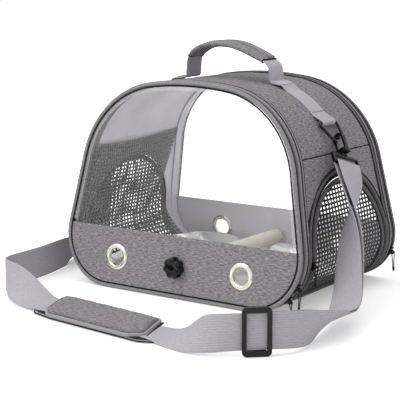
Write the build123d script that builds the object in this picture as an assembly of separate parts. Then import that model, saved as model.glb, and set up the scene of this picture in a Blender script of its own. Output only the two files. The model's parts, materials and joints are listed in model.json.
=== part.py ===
from build123d import *
from math import acos, asin, atan, cos, degrees, hypot, pi, radians, sin, sqrt, tan
import os

# Soft-sided bird travel carrier with clear end doors, a perch, a tray and a shoulder strap.
# Millimetres. X across the two clear doors, -Y the front door, +Z up.
# The origin is on the floor, in the middle of the base.

# ---------------------------------------------------------------- driving sizes
body_width = 330.0            # across the widest part of the sides
base_depth = 236.0            # front to rear along the floor
body_height = 248.0           # floor to the crown of the roof
end_lean = 6.8                # degrees that the end faces lean inwards
side_lean = 10.7              # degrees that the sides lean inwards
corner_radius = 62.5          # lower corners of the end outline
shoulder_radius = 111.5       # shoulders of the end outline
roof_radius = 400.0           # crown of the roof
seam_height = 168.0           # roof panel to side panel seam

fabric = 3.0                  # foam-backed cloth of roof and sides
base_seam_inset = 2.5         # base seam inside the foot of the corner arc
base_padding = 5.0            # thickness of the padded base
film = 1.0                    # clear film of the windows
door_cloth = 2.5              # cloth of the lower door panels
cord_piping = 5.0             # diameter of the corded piping
fabric_inset = 2.0            # how far the cloth lies inside the crest of the piping
chain_width = 3.8             # closed zipper chain
chain_inset = 1.4             # outer face of the chain below the piping crest
tape_thickness = 0.7
tape_reach = 9.6              # zipper tape past the chain, under the cloth
soft_gap = 0.3                # between soft pieces that only lie beside each other
row_gap = 0.6                 # between a piping and the zipper chain
panel_top = 72.0              # top edge of the lower door panels, up the slope

doorway_margin = 18.9         # from the legs of the side doorway to the end faces
doorway_top = 151.0
doorway_foot = 14.0           # lower edge of the side doorway
mesh_sheet = 1.0
binding_height = 7.0          # bound lower edge of a mesh door

board_thickness = 3.0
board_lift = 0.2              # board above the padding
board_side_gap = 0.5          # board edge inside the foot of the corner arc
board_end_gap = 20.0          # board edge inside the ends
tray_side_reach = 8.5         # tray edge past the foot of the corner arc
tray_end_gap = 18.0
tray_rim = 10.0
tray_sheet = 1.0
tray_corner = 18.0

eyelet_x = 88.0               # from the middle of the door
eyelet_z = 38.0
eyelet_bore = 10.0            # radius
eyelet_flange = 15.5          # radius
eyelet_flange_thickness = 1.2

perch_z = 37.0
perch_radius = 8.5
perch_end_gap = 13.0          # rear end of the perch inside the rear end
perch_edge = 1.5
bolt_radius = 3.0
bolt_depth = 22.0             # screwed into the perch
bolt_in_knob = 7.0
bolt_clearance = 0.05
washer_radius = 10.0
washer_thickness = 1.5
washer_gap = 0.6              # to the door panel
knob_radius = 12.5
knob_depth = 10.0
knob_lobes = 7
knob_flute = 3.0
knob_flute_out = 0.45         # share of the flute that lies outside the knob
knob_turn = 12.0              # degrees

handle_foot_x = 62.0          # where the handle webbing leaves the roof
handle_foot_length = 24.0     # webbing sewn flat on the roof
handle_rise = 40.5            # from the feet to the crown of the handle
handle_width = 30.0           # its webbing
webbing_thickness = 1.9
grip_width = 33.0
grip_depth = 7.6
grip_end_x = 52.0
ring_strap_width = 28.0
ring_angle = 36.5             # place of the ring bar on the shoulder arc
ring_lean = 42.0              # degrees of the hanging ring from upright
ring_bar = 1.8                # wire radius
ring_half_top = 19.0
ring_half_low = 12.0
ring_drop = 24.0
ring_bend = 4.0
pin_fit = 0.08                # radial play of pins and bars that turn

hook_reach = (17.2, -12.0, -25.6)  # direction of the hanging hook
eye_room = 2.7                # round the ring's bar inside the hook's eye
hook_seat_gap = 0.6           # the eye hangs on the ring's bar
hook_stock = 3.2              # width of the shank
hook_thickness = 4.0
hook_throat = 12.8            # from the middle of the eye to the body block
hook_block = 6.0
hook_block_depth = 8.0
gate_width = 2.6
gate_pin = 0.8                # radius
gate_thickness = 2.2
gate_drop = 1.5               # of the nose below the middle of the eye
gate_nose_gap = 0.4
gate_swing_room = 1.1         # in the slot, for the gate's foot
stem_radius = 2.2
stem_head = 3.3
loop_inner = 39.4             # width inside the swivelling loop
loop_slot = 5.2
loop_stock = 3.4
stem_collar_length = 2.4
stem_cap_length = 1.2

slider_neck_width = 4.2
slider_cap_width = 7.6
side_cap_width = 4.8          # stays off the piping of the mesh door
slider_cap_thickness = 1.6
slider_half_angle = 4.6       # degrees of arc each way
slider_clearance = 0.4
lug_gap = 2.4
lug_thickness = 1.0
lug_rise = 2.2                # from the cap to the pin
pull_pin = 1.0                # radius
pull_eye = 2.1                # radius
pull_length = 24.0
low_pull_length = 14.0        # the lowest pull stops short of the floor
pull_thickness = 1.4
pull_play = 0.15              # each side, between the lugs
lug_root_half_angle = 1.6     # degrees of arc
lug_head = 1.75               # radius
slider_neck_share = 0.8       # of the cap's arc

strap_width = 38.0
strap_thickness = 1.6
pad_length = 152.0
pad_width = 54.0
pad_thickness = 8.0
pad_corner = 12.0
pad_centre = (-4.0, -244.5)
pad_turn = -6.8               # degrees
floor_gap = 0.5               # under the strap and its pad
strap_facet = 12.0            # degrees of turn in one ruled stretch
adjuster_height = 50.0
adjuster_length = 30.0
adjuster_bar = 4.6
adjuster_front = 3.0          # thickness of the outer bars
adjuster_back = 2.6           # thickness of the middle bar
adjuster_corner = 5.0
adjuster_rail = 20.0          # length of the rails that join the bars

# ---------------------------------------------------------------- outline of the end faces
face_height = body_height / cos(radians(end_lean))
half_width = body_width / 2
corner_x = half_width - corner_radius
lean = radians(side_lean)
base_half_flat = corner_x - base_seam_inset
slope_sin = sin(radians(end_lean))
slope_cos = cos(radians(end_lean))
doorway_reach = base_depth / 2 * slope_cos - doorway_top * slope_sin - doorway_margin
doorway_radius = doorway_reach / (1 - slope_sin)


def polar(centre, radius, angle):
    """Point at an angle in degrees on a circle."""
    return (centre[0] + radius * cos(radians(angle)), centre[1] + radius * sin(radians(angle)))


corner_centre = (corner_x, corner_radius)
roof_centre = (0.0, face_height - roof_radius)
# The side line is tangent to the corner; the shoulder is tangent to the line and to the roof.
line_start = polar(corner_centre, corner_radius, side_lean)
along = (-sin(lean), cos(lean))
offset_start = (
    line_start[0] - shoulder_radius * cos(lean) - roof_centre[0],
    line_start[1] - shoulder_radius * sin(lean) - roof_centre[1],
)
half_b = offset_start[0] * along[0] + offset_start[1] * along[1]
rest_c = offset_start[0] ** 2 + offset_start[1] ** 2 - (roof_radius - shoulder_radius) ** 2
line_length = -half_b + sqrt(half_b**2 - rest_c)
shoulder_centre = (
    offset_start[0] + roof_centre[0] + line_length * along[0],
    offset_start[1] + roof_centre[1] + line_length * along[1],
)
shoulder_end = degrees(acos((shoulder_centre[0] - roof_centre[0]) / (roof_radius - shoulder_radius)))


def outline_edges(inset):
    """Edges of the end outline, moved in by inset, counter-clockwise from the floor."""
    corner = corner_radius - inset
    shoulder = shoulder_radius - inset
    roof = roof_radius - inset
    left_corner = (-corner_centre[0], corner_centre[1])
    left_shoulder = (-shoulder_centre[0], shoulder_centre[1])
    turn = shoulder_end - side_lean
    right_low = polar(corner_centre, corner, side_lean)
    right_high = polar(shoulder_centre, shoulder, side_lean)
    return [
        Line((-corner_x, inset), (corner_x, inset)),
        CenterArc(corner_centre, corner, -90, 90 + side_lean),
        Line(right_low, right_high),
        CenterArc(shoulder_centre, shoulder, side_lean, turn),
        CenterArc(roof_centre, roof, shoulder_end, 180 - 2 * shoulder_end),
        CenterArc(left_shoulder, shoulder, 180 - shoulder_end, turn),
        Line((-right_high[0], right_high[1]), (-right_low[0], right_low[1])),
        CenterArc(left_corner, corner, 180 - side_lean, 90 + side_lean),
    ]


def outline(inset=0.0):
    return make_face(outline_edges(inset))


def end_plane(depth):
    """Plane parallel to the front face and depth behind it; its Y runs up the slope."""
    slope = radians(end_lean)
    return Plane(
        origin=(0, -base_depth / 2 + depth / cos(slope), 0),
        x_dir=(1, 0, 0),
        z_dir=(0, -cos(slope), sin(slope)),
    )


def inwards(depth, face, amount):
    """Solid of a face drawn on the end plane, run straight back along Y."""
    return extrude(end_plane(depth) * face, amount=amount, dir=(0, 1, 0))


def ring(depth, thickness, outer, inner):
    return inwards(depth, outline(outer) - outline(inner), thickness / cos(radians(end_lean)))


def tube(depth, inset, radius):
    """Corded piping round the whole outline."""
    path = end_plane(depth) * Wire(outline_edges(inset))
    start = path @ 0
    return sweep(Plane(origin=start, x_dir=(0, 1, 0), z_dir=path % 0) * Circle(radius), path)


def to_rear(shape):
    return mirror(shape, about=Plane.XZ)


def to_left(shape):
    return mirror(shape, about=Plane.YZ)


def side_x(z, inset=0.0):
    """Half width of the outline at a height, moved in by inset."""
    v = z / cos(radians(end_lean))
    line_low = polar(corner_centre, corner_radius - inset, side_lean)[1]
    line_high = polar(shoulder_centre, shoulder_radius - inset, side_lean)[1]
    if v < line_low:
        return corner_centre[0] + sqrt((corner_radius - inset) ** 2 - (v - corner_centre[1]) ** 2)
    if v > line_high:
        return shoulder_centre[0] + sqrt((shoulder_radius - inset) ** 2 - (v - shoulder_centre[1]) ** 2)
    return polar(corner_centre, corner_radius - inset, side_lean)[0] - (v - line_low) * tan(lean)


def roof_z(x, inset=0.0):
    """Height of the roof at a distance from the middle."""
    return (roof_centre[1] + sqrt((roof_radius - inset) ** 2 - x**2)) * cos(radians(end_lean))


def front_y(z, depth=0.0):
    """Y of the front face, or of a plane depth behind it, at a height."""
    return -base_depth / 2 + depth / cos(radians(end_lean)) + z * tan(radians(end_lean))


# ---------------------------------------------------------------- depths behind the face
piping_radius = cord_piping / 2
door_piping_depth = piping_radius
chain_front = cord_piping + row_gap
chain_back = chain_front + chain_width
chain_middle = chain_front + chain_width / 2
body_piping_depth = chain_back + row_gap + piping_radius
cloth_front = body_piping_depth + piping_radius + soft_gap
tape_inset = cord_piping + soft_gap
panel_front = 1.5
film_front = 2.2

nodes = {}

# ---------------------------------------------------------------- shell of the bag
far = 600.0
whole_skin = inwards(cloth_front, outline(fabric_inset) - outline(fabric_inset + fabric), far)
rear_limit = to_rear(inwards(cloth_front, Rectangle(far, far), far))
skin = whole_skin & rear_limit
roof_box = Pos(0, 0, seam_height + far / 2) * Box(far, far, far)
side_box = Pos(base_half_flat + far / 2, 0, seam_height - far / 2) * Box(far, far, far)
nodes["top_panel"] = skin & roof_box

padding = inwards(cloth_front, outline(0) - outline(base_padding), far) & rear_limit
middle_box = Box(2 * base_half_flat, far, 2 * corner_radius)
nodes["base_panel"] = padding & middle_box


def doorway(inset, foot):
    """Side doorway seen along X: legs parallel to the end faces under a round arch, moved in by inset."""
    arch = doorway_radius - inset
    slope = radians(end_lean)
    centre_z = doorway_top - doorway_radius
    leg_y = (arch + (centre_z - foot) * sin(slope)) / cos(slope)
    spring = polar((0, centre_z), arch, end_lean)
    return make_face(
        [
            Line((-leg_y, foot), (leg_y, foot)),
            Line((leg_y, foot), spring),
            CenterArc((0, centre_z), arch, end_lean, 180 - 2 * end_lean),
            Line((-spring[0], spring[1]), (-leg_y, foot)),
        ]
    )


def right_skin(outer, inner, face):
    """Part of a skin on the right side that lies behind a face drawn along X."""
    around = inwards(0, outline(outer) - outline(inner), base_depth)
    return around & extrude(Plane.YZ * face, amount=far)


def arch_row(start, stop, outer, inner):
    """Band that follows the doorway, between two insets, open at its foot."""
    face = doorway(start, doorway_foot) - doorway(stop, doorway_foot - cord_piping)
    return right_skin(outer, inner, face)


side_cloth = skin & side_box
side_hole = extrude(Plane.YZ * doorway(-soft_gap, doorway_foot), amount=far)
right_side = side_cloth - side_hole
nodes["right_side_panel"] = right_side
nodes["left_side_panel"] = to_left(right_side)

# ---------------------------------------------------------------- piping and zippers round the ends
body_piping = tube(body_piping_depth, piping_radius, piping_radius)
nodes["front_frame_piping"] = body_piping
nodes["rear_frame_piping"] = to_rear(body_piping)

chain = ring(chain_front, chain_width, chain_inset, tape_inset + tape_thickness)
tape = ring(chain_back, tape_reach, tape_inset, tape_inset + tape_thickness)
zipper = chain + tape
nodes["front_zipper"] = zipper
nodes["rear_zipper"] = to_rear(zipper)

# ---------------------------------------------------------------- side doors
row_one = cord_piping
row_two = row_one + row_gap
row_three = row_two + chain_width
row_four = row_three + row_gap
row_five = row_four + cord_piping
side_rows = {
    "window_piping": arch_row(0, row_one, 0, cord_piping),
    "door_zipper": arch_row(row_two, row_three, chain_inset, cord_piping),
    "door_piping": arch_row(row_four, row_five, 0, cord_piping),
}
mesh_face = doorway(row_five + soft_gap, doorway_foot + binding_height + soft_gap)
side_rows["mesh_panel"] = right_skin(fabric_inset, fabric_inset + mesh_sheet, mesh_face)
hinge_foot = doorway_foot + soft_gap
binding_box = doorway(row_five + soft_gap, hinge_foot)
binding_face = binding_box - doorway(0, doorway_foot + binding_height)
side_rows["door_binding"] = right_skin(1.0, fabric_inset + fabric, binding_face)
door_floor = Pos(0, 0, hinge_foot + far / 2) * Box(far, far, far)
side_rows["door_piping"] = side_rows["door_piping"] & door_floor
print("mesh door hinge", side_x(hinge_foot, 1.0), hinge_foot)
for name, shape in side_rows.items():
    nodes["right_" + name] = shape
    nodes["left_" + name] = to_left(shape)

# ---------------------------------------------------------------- clear end doors
door_piping = tube(door_piping_depth, piping_radius, piping_radius)
door_edge = cord_piping + soft_gap / 2
low_half = Pos(0, panel_top / 2) * Rectangle(far, panel_top)
high_half = Pos(0, panel_top + soft_gap / 2 + far / 2) * Rectangle(far, far)
window = inwards(film_front, outline(door_edge) & high_half, film / slope_cos)
panel_face = outline(door_edge) & low_half
eyelet_v = eyelet_z / slope_cos
bolt_v = perch_z / slope_cos
eyelet_spots = [(-eyelet_x, eyelet_v), (eyelet_x, eyelet_v)]
eyelet_barrel = eyelet_bore + 1.0
panel_plain = inwards(panel_front, panel_face, door_cloth / slope_cos)
panel_back = panel_front + door_cloth


def across_face(depth, spot, radius, length):
    """Cylinder square to the front face, starting depth behind it."""
    place = end_plane(depth)
    base = Plane(origin=place.from_local_coords((spot[0], spot[1], 0)), z_dir=-place.z_dir)
    return extrude(base * Circle(radius), amount=length)


panel = panel_plain
eyelets = []
for spot in eyelet_spots:
    panel = panel - across_face(0, spot, eyelet_barrel + soft_gap / 3, 10)
    flange = across_face(panel_front - eyelet_flange_thickness, spot, eyelet_flange, eyelet_flange_thickness)
    back = across_face(panel_back, spot, eyelet_flange, eyelet_flange_thickness)
    barrel_length = door_cloth + 2 * eyelet_flange_thickness
    barrel = across_face(panel_front - eyelet_flange_thickness, spot, eyelet_barrel, barrel_length)
    bore = across_face(-5, spot, eyelet_bore, 20)
    eyelets.append(flange + back + barrel - bore)
rear_panel = panel
bolt_hole = Plane(origin=(0, -base_depth / 2 - 5, perch_z), z_dir=(0, 1, 0)) * Circle(bolt_radius + soft_gap)
front_panel = panel - extrude(bolt_hole, amount=30)

nodes["front_door_piping"] = door_piping
nodes["rear_door_piping"] = to_rear(door_piping)
nodes["front_window"] = window
nodes["rear_window"] = to_rear(window)
nodes["front_lower_panel"] = front_panel
nodes["rear_lower_panel"] = to_rear(rear_panel)
nodes["front_eyelets"] = eyelets[0] + eyelets[1]
nodes["rear_eyelets"] = to_rear(nodes["front_eyelets"])

# ---------------------------------------------------------------- perch, its bolt and its knob


def along_y(y, radius, length, z=perch_z):
    return extrude(Plane(origin=(0, y, z), z_dir=(0, 1, 0)) * Circle(radius), amount=length)


washer_front = front_y(perch_z + washer_radius, panel_back) + washer_gap
perch_front = washer_front + washer_thickness + bolt_clearance
perch_back = base_depth / 2 - perch_end_gap
perch_rod = along_y(perch_front, perch_radius, perch_back - perch_front)
perch_rod = fillet(perch_rod.edges().filter_by(GeomType.CIRCLE), perch_edge)
knob_back = front_y(perch_z - knob_radius, panel_front) - soft_gap
knob_front = knob_back - knob_depth
bolt_start = knob_back - bolt_in_knob
nodes["perch"] = perch_rod - along_y(perch_front - 1, bolt_radius + bolt_clearance, bolt_depth + 1.2)
nodes["perch_bolt"] = along_y(bolt_start, bolt_radius, perch_front + bolt_depth - bolt_start)
washer = along_y(washer_front, washer_radius, washer_thickness)
nodes["perch_washer"] = washer - along_y(washer_front - 1, bolt_radius + bolt_clearance, 5)

knob_plane = Plane(origin=(0, knob_back, perch_z), x_dir=(1, 0, 0), z_dir=(0, -1, 0))
knob_face = Circle(knob_radius)
for turn in range(knob_lobes):
    spot = polar((0, 0), knob_radius + knob_flute * knob_flute_out, 360 / knob_lobes * turn + knob_turn)
    knob_face = knob_face - Pos(*spot) * Circle(knob_flute)
knob = extrude(knob_plane * knob_face, amount=knob_depth)
knob_hole = along_y(bolt_start - bolt_clearance, bolt_radius + bolt_clearance, knob_depth)
nodes["perch_knob"] = knob - knob_hole

# ---------------------------------------------------------------- base board and tray
board_low = base_padding + board_lift
board_width = 2 * (corner_x - board_side_gap)
board_depth = base_depth - 2 * board_end_gap
board = Pos(0, 0, board_low + board_thickness / 2) * Box(board_width, board_depth, board_thickness)
nodes["base_board"] = board
tray_low = board_low + board_thickness
tray_width = 2 * (corner_x + tray_side_reach)
tray_depth = base_depth - 2 * tray_end_gap
tray_outer = RectangleRounded(tray_width, tray_depth, tray_corner)
tray_inner = offset(tray_outer, -tray_sheet)
tray_solid = extrude(Plane.XY.offset(tray_low) * tray_outer, amount=tray_rim)
tray_hollow = extrude(Plane.XY.offset(tray_low + tray_sheet) * tray_inner, amount=tray_rim)
nodes["floor_tray"] = tray_solid - tray_hollow

# ---------------------------------------------------------------- handle
def band(path, width, thickness):
    """Flat band along a path in the XZ plane."""
    start = Plane(origin=path @ 0, x_dir=(0, 1, 0), z_dir=path % 0)
    return sweep(start * Rectangle(width, thickness), path)


strap_inset = fabric_inset - webbing_thickness
foot_sag = handle_foot_length**2 / (8 * roof_radius)
foot_inset = strap_inset - webbing_thickness / 2 - foot_sag - pin_fit
foot_z = roof_z(handle_foot_x, foot_inset)
toe_x = handle_foot_x + handle_foot_length
toe_z = roof_z(toe_x, foot_inset)
# The soft handle leans a little: each point is a share of the half span and of the rise.
handle_shape = [
    (-0.94, 0.24),
    (-0.84, 0.62),
    (-0.48, 0.96),
    (0.02, 1.00),
    (0.50, 0.80),
    (0.92, 0.50),
    (0.985, 0.25),
]
arch_points = [(share * handle_foot_x, foot_z + rise * handle_rise) for share, rise in handle_shape]
handle_points = [(-toe_x, toe_z), (-handle_foot_x, foot_z)] + arch_points
handle_points += [(handle_foot_x, foot_z), (toe_x, toe_z)]


def bend_radii(points, share=0.45):
    """Largest arc at each inner corner: its tangents take a share of the shorter run."""
    corners = [Vector(*point) for point in points]
    radii = []
    for before, here, after in zip(corners, corners[1:], corners[2:]):
        turn = radians((here - before).get_angle(after - here))
        radii.append(share * min((here - before).length, (after - here).length) / tan(turn / 2))
    return radii


handle_path = Plane.XZ * FilletPolyline(*handle_points, radius=bend_radii(handle_points))
nodes["handle_webbing"] = band(handle_path, handle_width, webbing_thickness)
grip_points = [handle_points[1]] + arch_points + [handle_points[-2]]
grip_path = Plane.XZ * FilletPolyline(*grip_points, radius=bend_radii(grip_points))
grip_start = Plane(origin=grip_path @ 0, x_dir=(0, 1, 0), z_dir=grip_path % 0)
grip_whole = sweep(grip_start * RectangleRounded(grip_width, grip_depth, grip_depth * 0.45), grip_path)
grip_core = band(grip_path, handle_width + 2 * pin_fit, webbing_thickness + 2 * pin_fit)
grip_box = Pos(0, 0, foot_z + far / 2) * Box(2 * grip_end_x, far, far)
nodes["handle_grip"] = (grip_whole & grip_box) - grip_core

# ---------------------------------------------------------------- ring straps and D rings
ring_hole = ring_bar + pin_fit
loop_radius = ring_hole + webbing_thickness
ring_reach = shoulder_radius - fabric_inset + loop_radius + pin_fit
ring_place = polar(shoulder_centre, ring_reach, ring_angle)
ring_x = ring_place[0]
ring_z = ring_place[1] * slope_cos
strap_skin = inwards(0, outline(strap_inset) - outline(fabric_inset), base_depth)
strap_box = Pos(handle_foot_x + far / 2, 0, ring_z - 1 + far / 2) * Box(far, ring_strap_width, far)
loop_plane = Plane(origin=(ring_x, -ring_strap_width / 2, ring_z), z_dir=(0, 1, 0))
loop_tube = extrude(loop_plane * Circle(loop_radius), amount=ring_strap_width)
loop_hole = extrude(loop_plane * Circle(ring_hole), amount=ring_strap_width)
ring_strap = (strap_skin & strap_box) + loop_tube - loop_hole
nodes["right_ring_strap"] = ring_strap

ring_down = Vector(sin(radians(ring_lean)), 0, -cos(radians(ring_lean)))
ring_plane = Plane(origin=(ring_x, 0, ring_z), x_dir=(0, 1, 0), z_dir=Vector(0, 1, 0).cross(ring_down))
ring_side = [(ring_half_top, 0), (ring_half_low, ring_drop)]
ring_corners = ring_side + [(-across, along) for across, along in reversed(ring_side)]
ring_path = ring_plane * FilletPolyline(*ring_corners, radius=ring_bend, close=True)
ring_start = Plane(origin=ring_path @ 0, z_dir=ring_path % 0)
nodes["right_d_ring"] = sweep(ring_start * Circle(ring_bar), ring_path)

# ---------------------------------------------------------------- snap hooks
hook_down = Vector(*hook_reach).normalized()
hook_eye = ring_bar + eye_room
# The eye hangs on the ring's bar, which crosses it at a slant.
bar_slant = asin(abs(hook_down.Y))
slant_room = hook_thickness / 2 * tan(bar_slant) + ring_bar * (1 / cos(bar_slant) - 1)
hook_seat = eye_room - hook_seat_gap - slant_room
eye_middle = Vector(ring_x, 0, ring_z) + ring_down * ring_drop + hook_down * hook_seat
hook_across = (Vector(0, 1, 0) - hook_down * hook_down.Y).normalized()
hook_plane = Plane(origin=eye_middle, x_dir=(hook_down * -1).cross(hook_across), z_dir=hook_across)


def hook_block_solid(low, high, thickness):
    """Box in the hook's own frame between two corners, thickness across."""
    width = high[0] - low[0]
    height = high[1] - low[1]
    face = Pos((low[0] + high[0]) / 2, (low[1] + high[1]) / 2) * Rectangle(width, height)
    return extrude(hook_plane * face, amount=thickness / 2, both=True)


def hook_turned(x, low, high, radius):
    """Cylinder along the hook's length, from low to high."""
    base = Plane(origin=hook_plane.from_local_coords((x, low, 0)), z_dir=hook_down * -1)
    return extrude(base * Circle(radius), amount=high - low)


eye_outer = hook_eye + hook_stock
block_low = -hook_throat - hook_block
eye_ring = extrude(
    hook_plane * (Circle(eye_outer) - Circle(hook_eye)), amount=hook_thickness / 2, both=True
)
gate_top = -gate_drop
upper_eye = eye_ring & hook_block_solid((-eye_outer, 0), (eye_outer, eye_outer), hook_thickness)
shank = hook_block_solid((-eye_outer, -hook_throat), (-hook_eye, 0), hook_thickness)
nose = hook_block_solid((hook_eye, gate_top), (eye_outer, 0), hook_thickness)
block = hook_block_solid((-eye_outer, block_low), (eye_outer, -hook_throat), hook_block_depth)
stem_bore = hook_turned(0, block_low - 1, -hook_throat + 1, stem_radius + pin_fit)
gate_x = hook_eye + hook_stock / 2
gate_y = -hook_throat - gate_width / 2
gate_slot_low = gate_y - gate_width / 2 - soft_gap
slot_inner = gate_x - gate_width / 2 - gate_swing_room
slot_top = -hook_throat + 1
slot_depth = gate_thickness + 2 * soft_gap
gate_slot = hook_block_solid((slot_inner, gate_slot_low), (eye_outer + 1, slot_top), slot_depth)
pin_base = hook_plane * Pos(gate_x, gate_y) * Circle(gate_pin)
gate_axle = extrude(pin_base, amount=hook_thickness / 2 + 1.5, both=True)
hook = upper_eye + shank + nose + block - stem_bore - gate_slot + gate_axle
nodes["right_hook"] = hook
gate_inner = gate_x - gate_width / 2
gate_tip = gate_top - gate_nose_gap
gate_bar = hook_block_solid((gate_inner, gate_y), (gate_inner + gate_width, gate_tip), gate_thickness)
gate_foot = hook_plane * Pos(gate_x, gate_y) * Circle(gate_width / 2)
gate_eye = extrude(gate_foot, amount=gate_thickness / 2, both=True)
gate_bore = extrude(hook_plane * Pos(gate_x, gate_y) * Circle(gate_pin + pin_fit), amount=3, both=True)
nodes["right_hook_gate"] = gate_bar + gate_eye - gate_bore

loop_top = block_low - soft_gap
collar_low = loop_top - stem_collar_length
slot_high = collar_low - loop_stock
slot_low = slot_high - loop_slot
bar_y = slot_low - loop_stock / 2
frame_width = loop_inner + 2 * loop_stock
print("ring", ring_x, ring_z, "eye", eye_middle, "down", hook_down, "across", hook_across)
print("gate pin", hook_plane.from_local_coords((gate_x, gate_y, 0)))
print("webbing bar", hook_plane.from_local_coords((0, bar_y, 0)), "inward", hook_plane.x_dir)


def loop_block(width, low, high, depth):
    """Box of the swivelling loop: width across the webbing, depth through it."""
    centre = hook_plane.from_local_coords((0, (low + high) / 2, 0))
    face_plane = Plane(origin=centre, x_dir=hook_across, z_dir=hook_plane.x_dir)
    return extrude(face_plane * Rectangle(width, high - low), amount=depth / 2, both=True)


loop_frame = loop_block(frame_width, slot_low - loop_stock, collar_low, loop_stock)
loop_frame = loop_frame - loop_block(loop_inner, slot_low, slot_high, 2 * loop_stock)
stem = hook_turned(0, collar_low - 1, -hook_throat + stem_cap_length, stem_radius)
stem_collar = hook_turned(0, collar_low - 1, loop_top, stem_head)
stem_cap = hook_turned(0, -hook_throat + soft_gap / 3, -hook_throat + stem_cap_length, stem_head)
nodes["right_swivel_loop"] = loop_frame + stem + stem_collar + stem_cap

# ---------------------------------------------------------------- zipper sliders and their pulls
def arc_block(place, inner, outer, half_angle, width, angle):
    """Block that follows the corner arc of the outline, width along the zipper's depth."""
    wedge = make_face(
        [
            Line(polar((0, 0), inner, angle - half_angle), polar((0, 0), outer, angle - half_angle)),
            CenterArc((0, 0), outer, angle - half_angle, 2 * half_angle),
            Line(polar((0, 0), outer, angle + half_angle), polar((0, 0), inner, angle + half_angle)),
            CenterArc((0, 0), inner, angle - half_angle, 2 * half_angle),
        ]
    )
    return extrude(place * wedge, amount=width / 2, both=True)


def slider_and_pull(depth, angle, pull_turn, length=pull_length, cap_width=slider_cap_width):
    """Slider on the lower right corner of a zipper row, and the pull that hangs from it."""
    place = end_plane(depth)
    centre = place.from_local_coords((corner_centre[0], corner_centre[1], 0))
    place = Plane(origin=centre, x_dir=place.x_dir, z_dir=place.z_dir)
    neck_inner = corner_radius - chain_inset + slider_clearance
    cap_inner = corner_radius + slider_clearance
    cap_outer = cap_inner + slider_cap_thickness
    pin_reach = cap_outer + lug_rise
    half = slider_half_angle
    body = arc_block(place, neck_inner, cap_inner, half * slider_neck_share, slider_neck_width, angle)
    body = body + arc_block(place, cap_inner, cap_outer, half, cap_width, angle)
    lug_middle = (lug_gap + lug_thickness) / 2
    pin = polar((0, 0), pin_reach, angle)
    for side in (-1, 1):
        lug_place = place.offset(side * lug_middle)
        root = arc_block(lug_place, cap_inner, pin_reach, lug_root_half_angle, lug_thickness, angle)
        head = extrude(lug_place * Pos(*pin) * Circle(lug_head), amount=lug_thickness / 2, both=True)
        body = body + root + head
    body = body + extrude(place * Pos(*pin) * Circle(pull_pin), amount=lug_middle, both=True)
    pull_half = lug_gap / 2 - pull_play
    eye = extrude(place * Pos(*pin) * Circle(pull_eye), amount=pull_half, both=True)
    bar_middle = polar(pin, length / 2, pull_turn)
    bar_face = Pos(*bar_middle) * Rot(0, 0, pull_turn) * Rectangle(length, pull_thickness)
    bar = extrude(place * bar_face, amount=pull_half, both=True)
    bore = extrude(place * Pos(*pin) * Circle(pull_pin + pin_fit), amount=lug_gap, both=True)
    pin_point = place.from_local_coords((pin[0], pin[1], 0))
    print("slider axis", place.z_dir, "centre", centre, "pull pin", pin_point)
    return body, eye + bar - bore


front_leg_inset = (row_two + row_three) / 2
arch_drop = (doorway_top - doorway_radius) * sin(radians(end_lean))
leg_depth = base_depth / 2 * slope_cos - arch_drop - doorway_radius + front_leg_inset
upper_angle = -28.0
lower_angle = -44.0
rear_angle = -24.0
side_angle = -7.0
slider, pull = slider_and_pull(chain_middle, upper_angle, -90)
nodes["front_slider_upper"] = slider
nodes["front_pull_upper"] = pull
slider, pull = slider_and_pull(chain_middle, lower_angle, -80, low_pull_length)
nodes["front_slider_lower"] = slider
nodes["front_pull_lower"] = pull
slider, pull = slider_and_pull(chain_middle, rear_angle, -90)
nodes["rear_slider"] = to_rear(slider)
nodes["rear_pull"] = to_rear(pull)
slider, pull = slider_and_pull(leg_depth, side_angle, -90, cap_width=side_cap_width)
nodes["right_slider"] = slider
nodes["right_pull"] = pull
nodes["left_slider"] = to_left(slider)
nodes["left_pull"] = to_left(pull)

for name in ["ring_strap", "d_ring", "hook", "hook_gate", "swivel_loop"]:
    nodes["left_" + name] = to_left(nodes["right_" + name])

# ---------------------------------------------------------------- shoulder strap
# Each point of the route is the middle of the webbing and the direction across it.
strap_points = [
    (160.8, -12, 156.7),
    (170.2, -18.5, 142.8),
    (178, -31, 119.5),
    (184.5, -42.5, 96),
    (190, -52, 72),
    (197, -65, 49),
    (206, -83, 29),
    (216, -107, 19),
    (225, -134, 19),
    (230, -162, 20),
    (231, -188, 21),
    (228, -211, 23),
    (221, -232, 25.5),
    (177, -272, 25.5),
    (154, -277, 21.5),
    (131, -272, 14),
    (108, -262, 7),
    (83.4, -254.9, 4.5),
    (-91.4, -234.1, 4.5),
    (-115, -229.5, 8.5),
    (-137, -222, 14),
    (-158, -213, 18.5),
    (-176, -205, 19.8),
    (-190, -195, 19.8),
    (-194, -176, 19.8),
    (-194, -148, 19.8),
    (-196, -120, 19.8),
    (-202, -90, 19.8),
    (-209, -60, 19.8),
    (-213, -37, 15),
    (-216, -18, 7),
    (-218, -1, 8.5),
    (-219, 8, 22),
    (-216, 5, 40),
    (-210, -2, 58),
    (-202, -10, 77),
    (-194, -16, 98),
    (-185, -21, 121),
    (-174.8, -18.5, 145.9),
    (-165.5, -12, 159.8),
]
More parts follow.
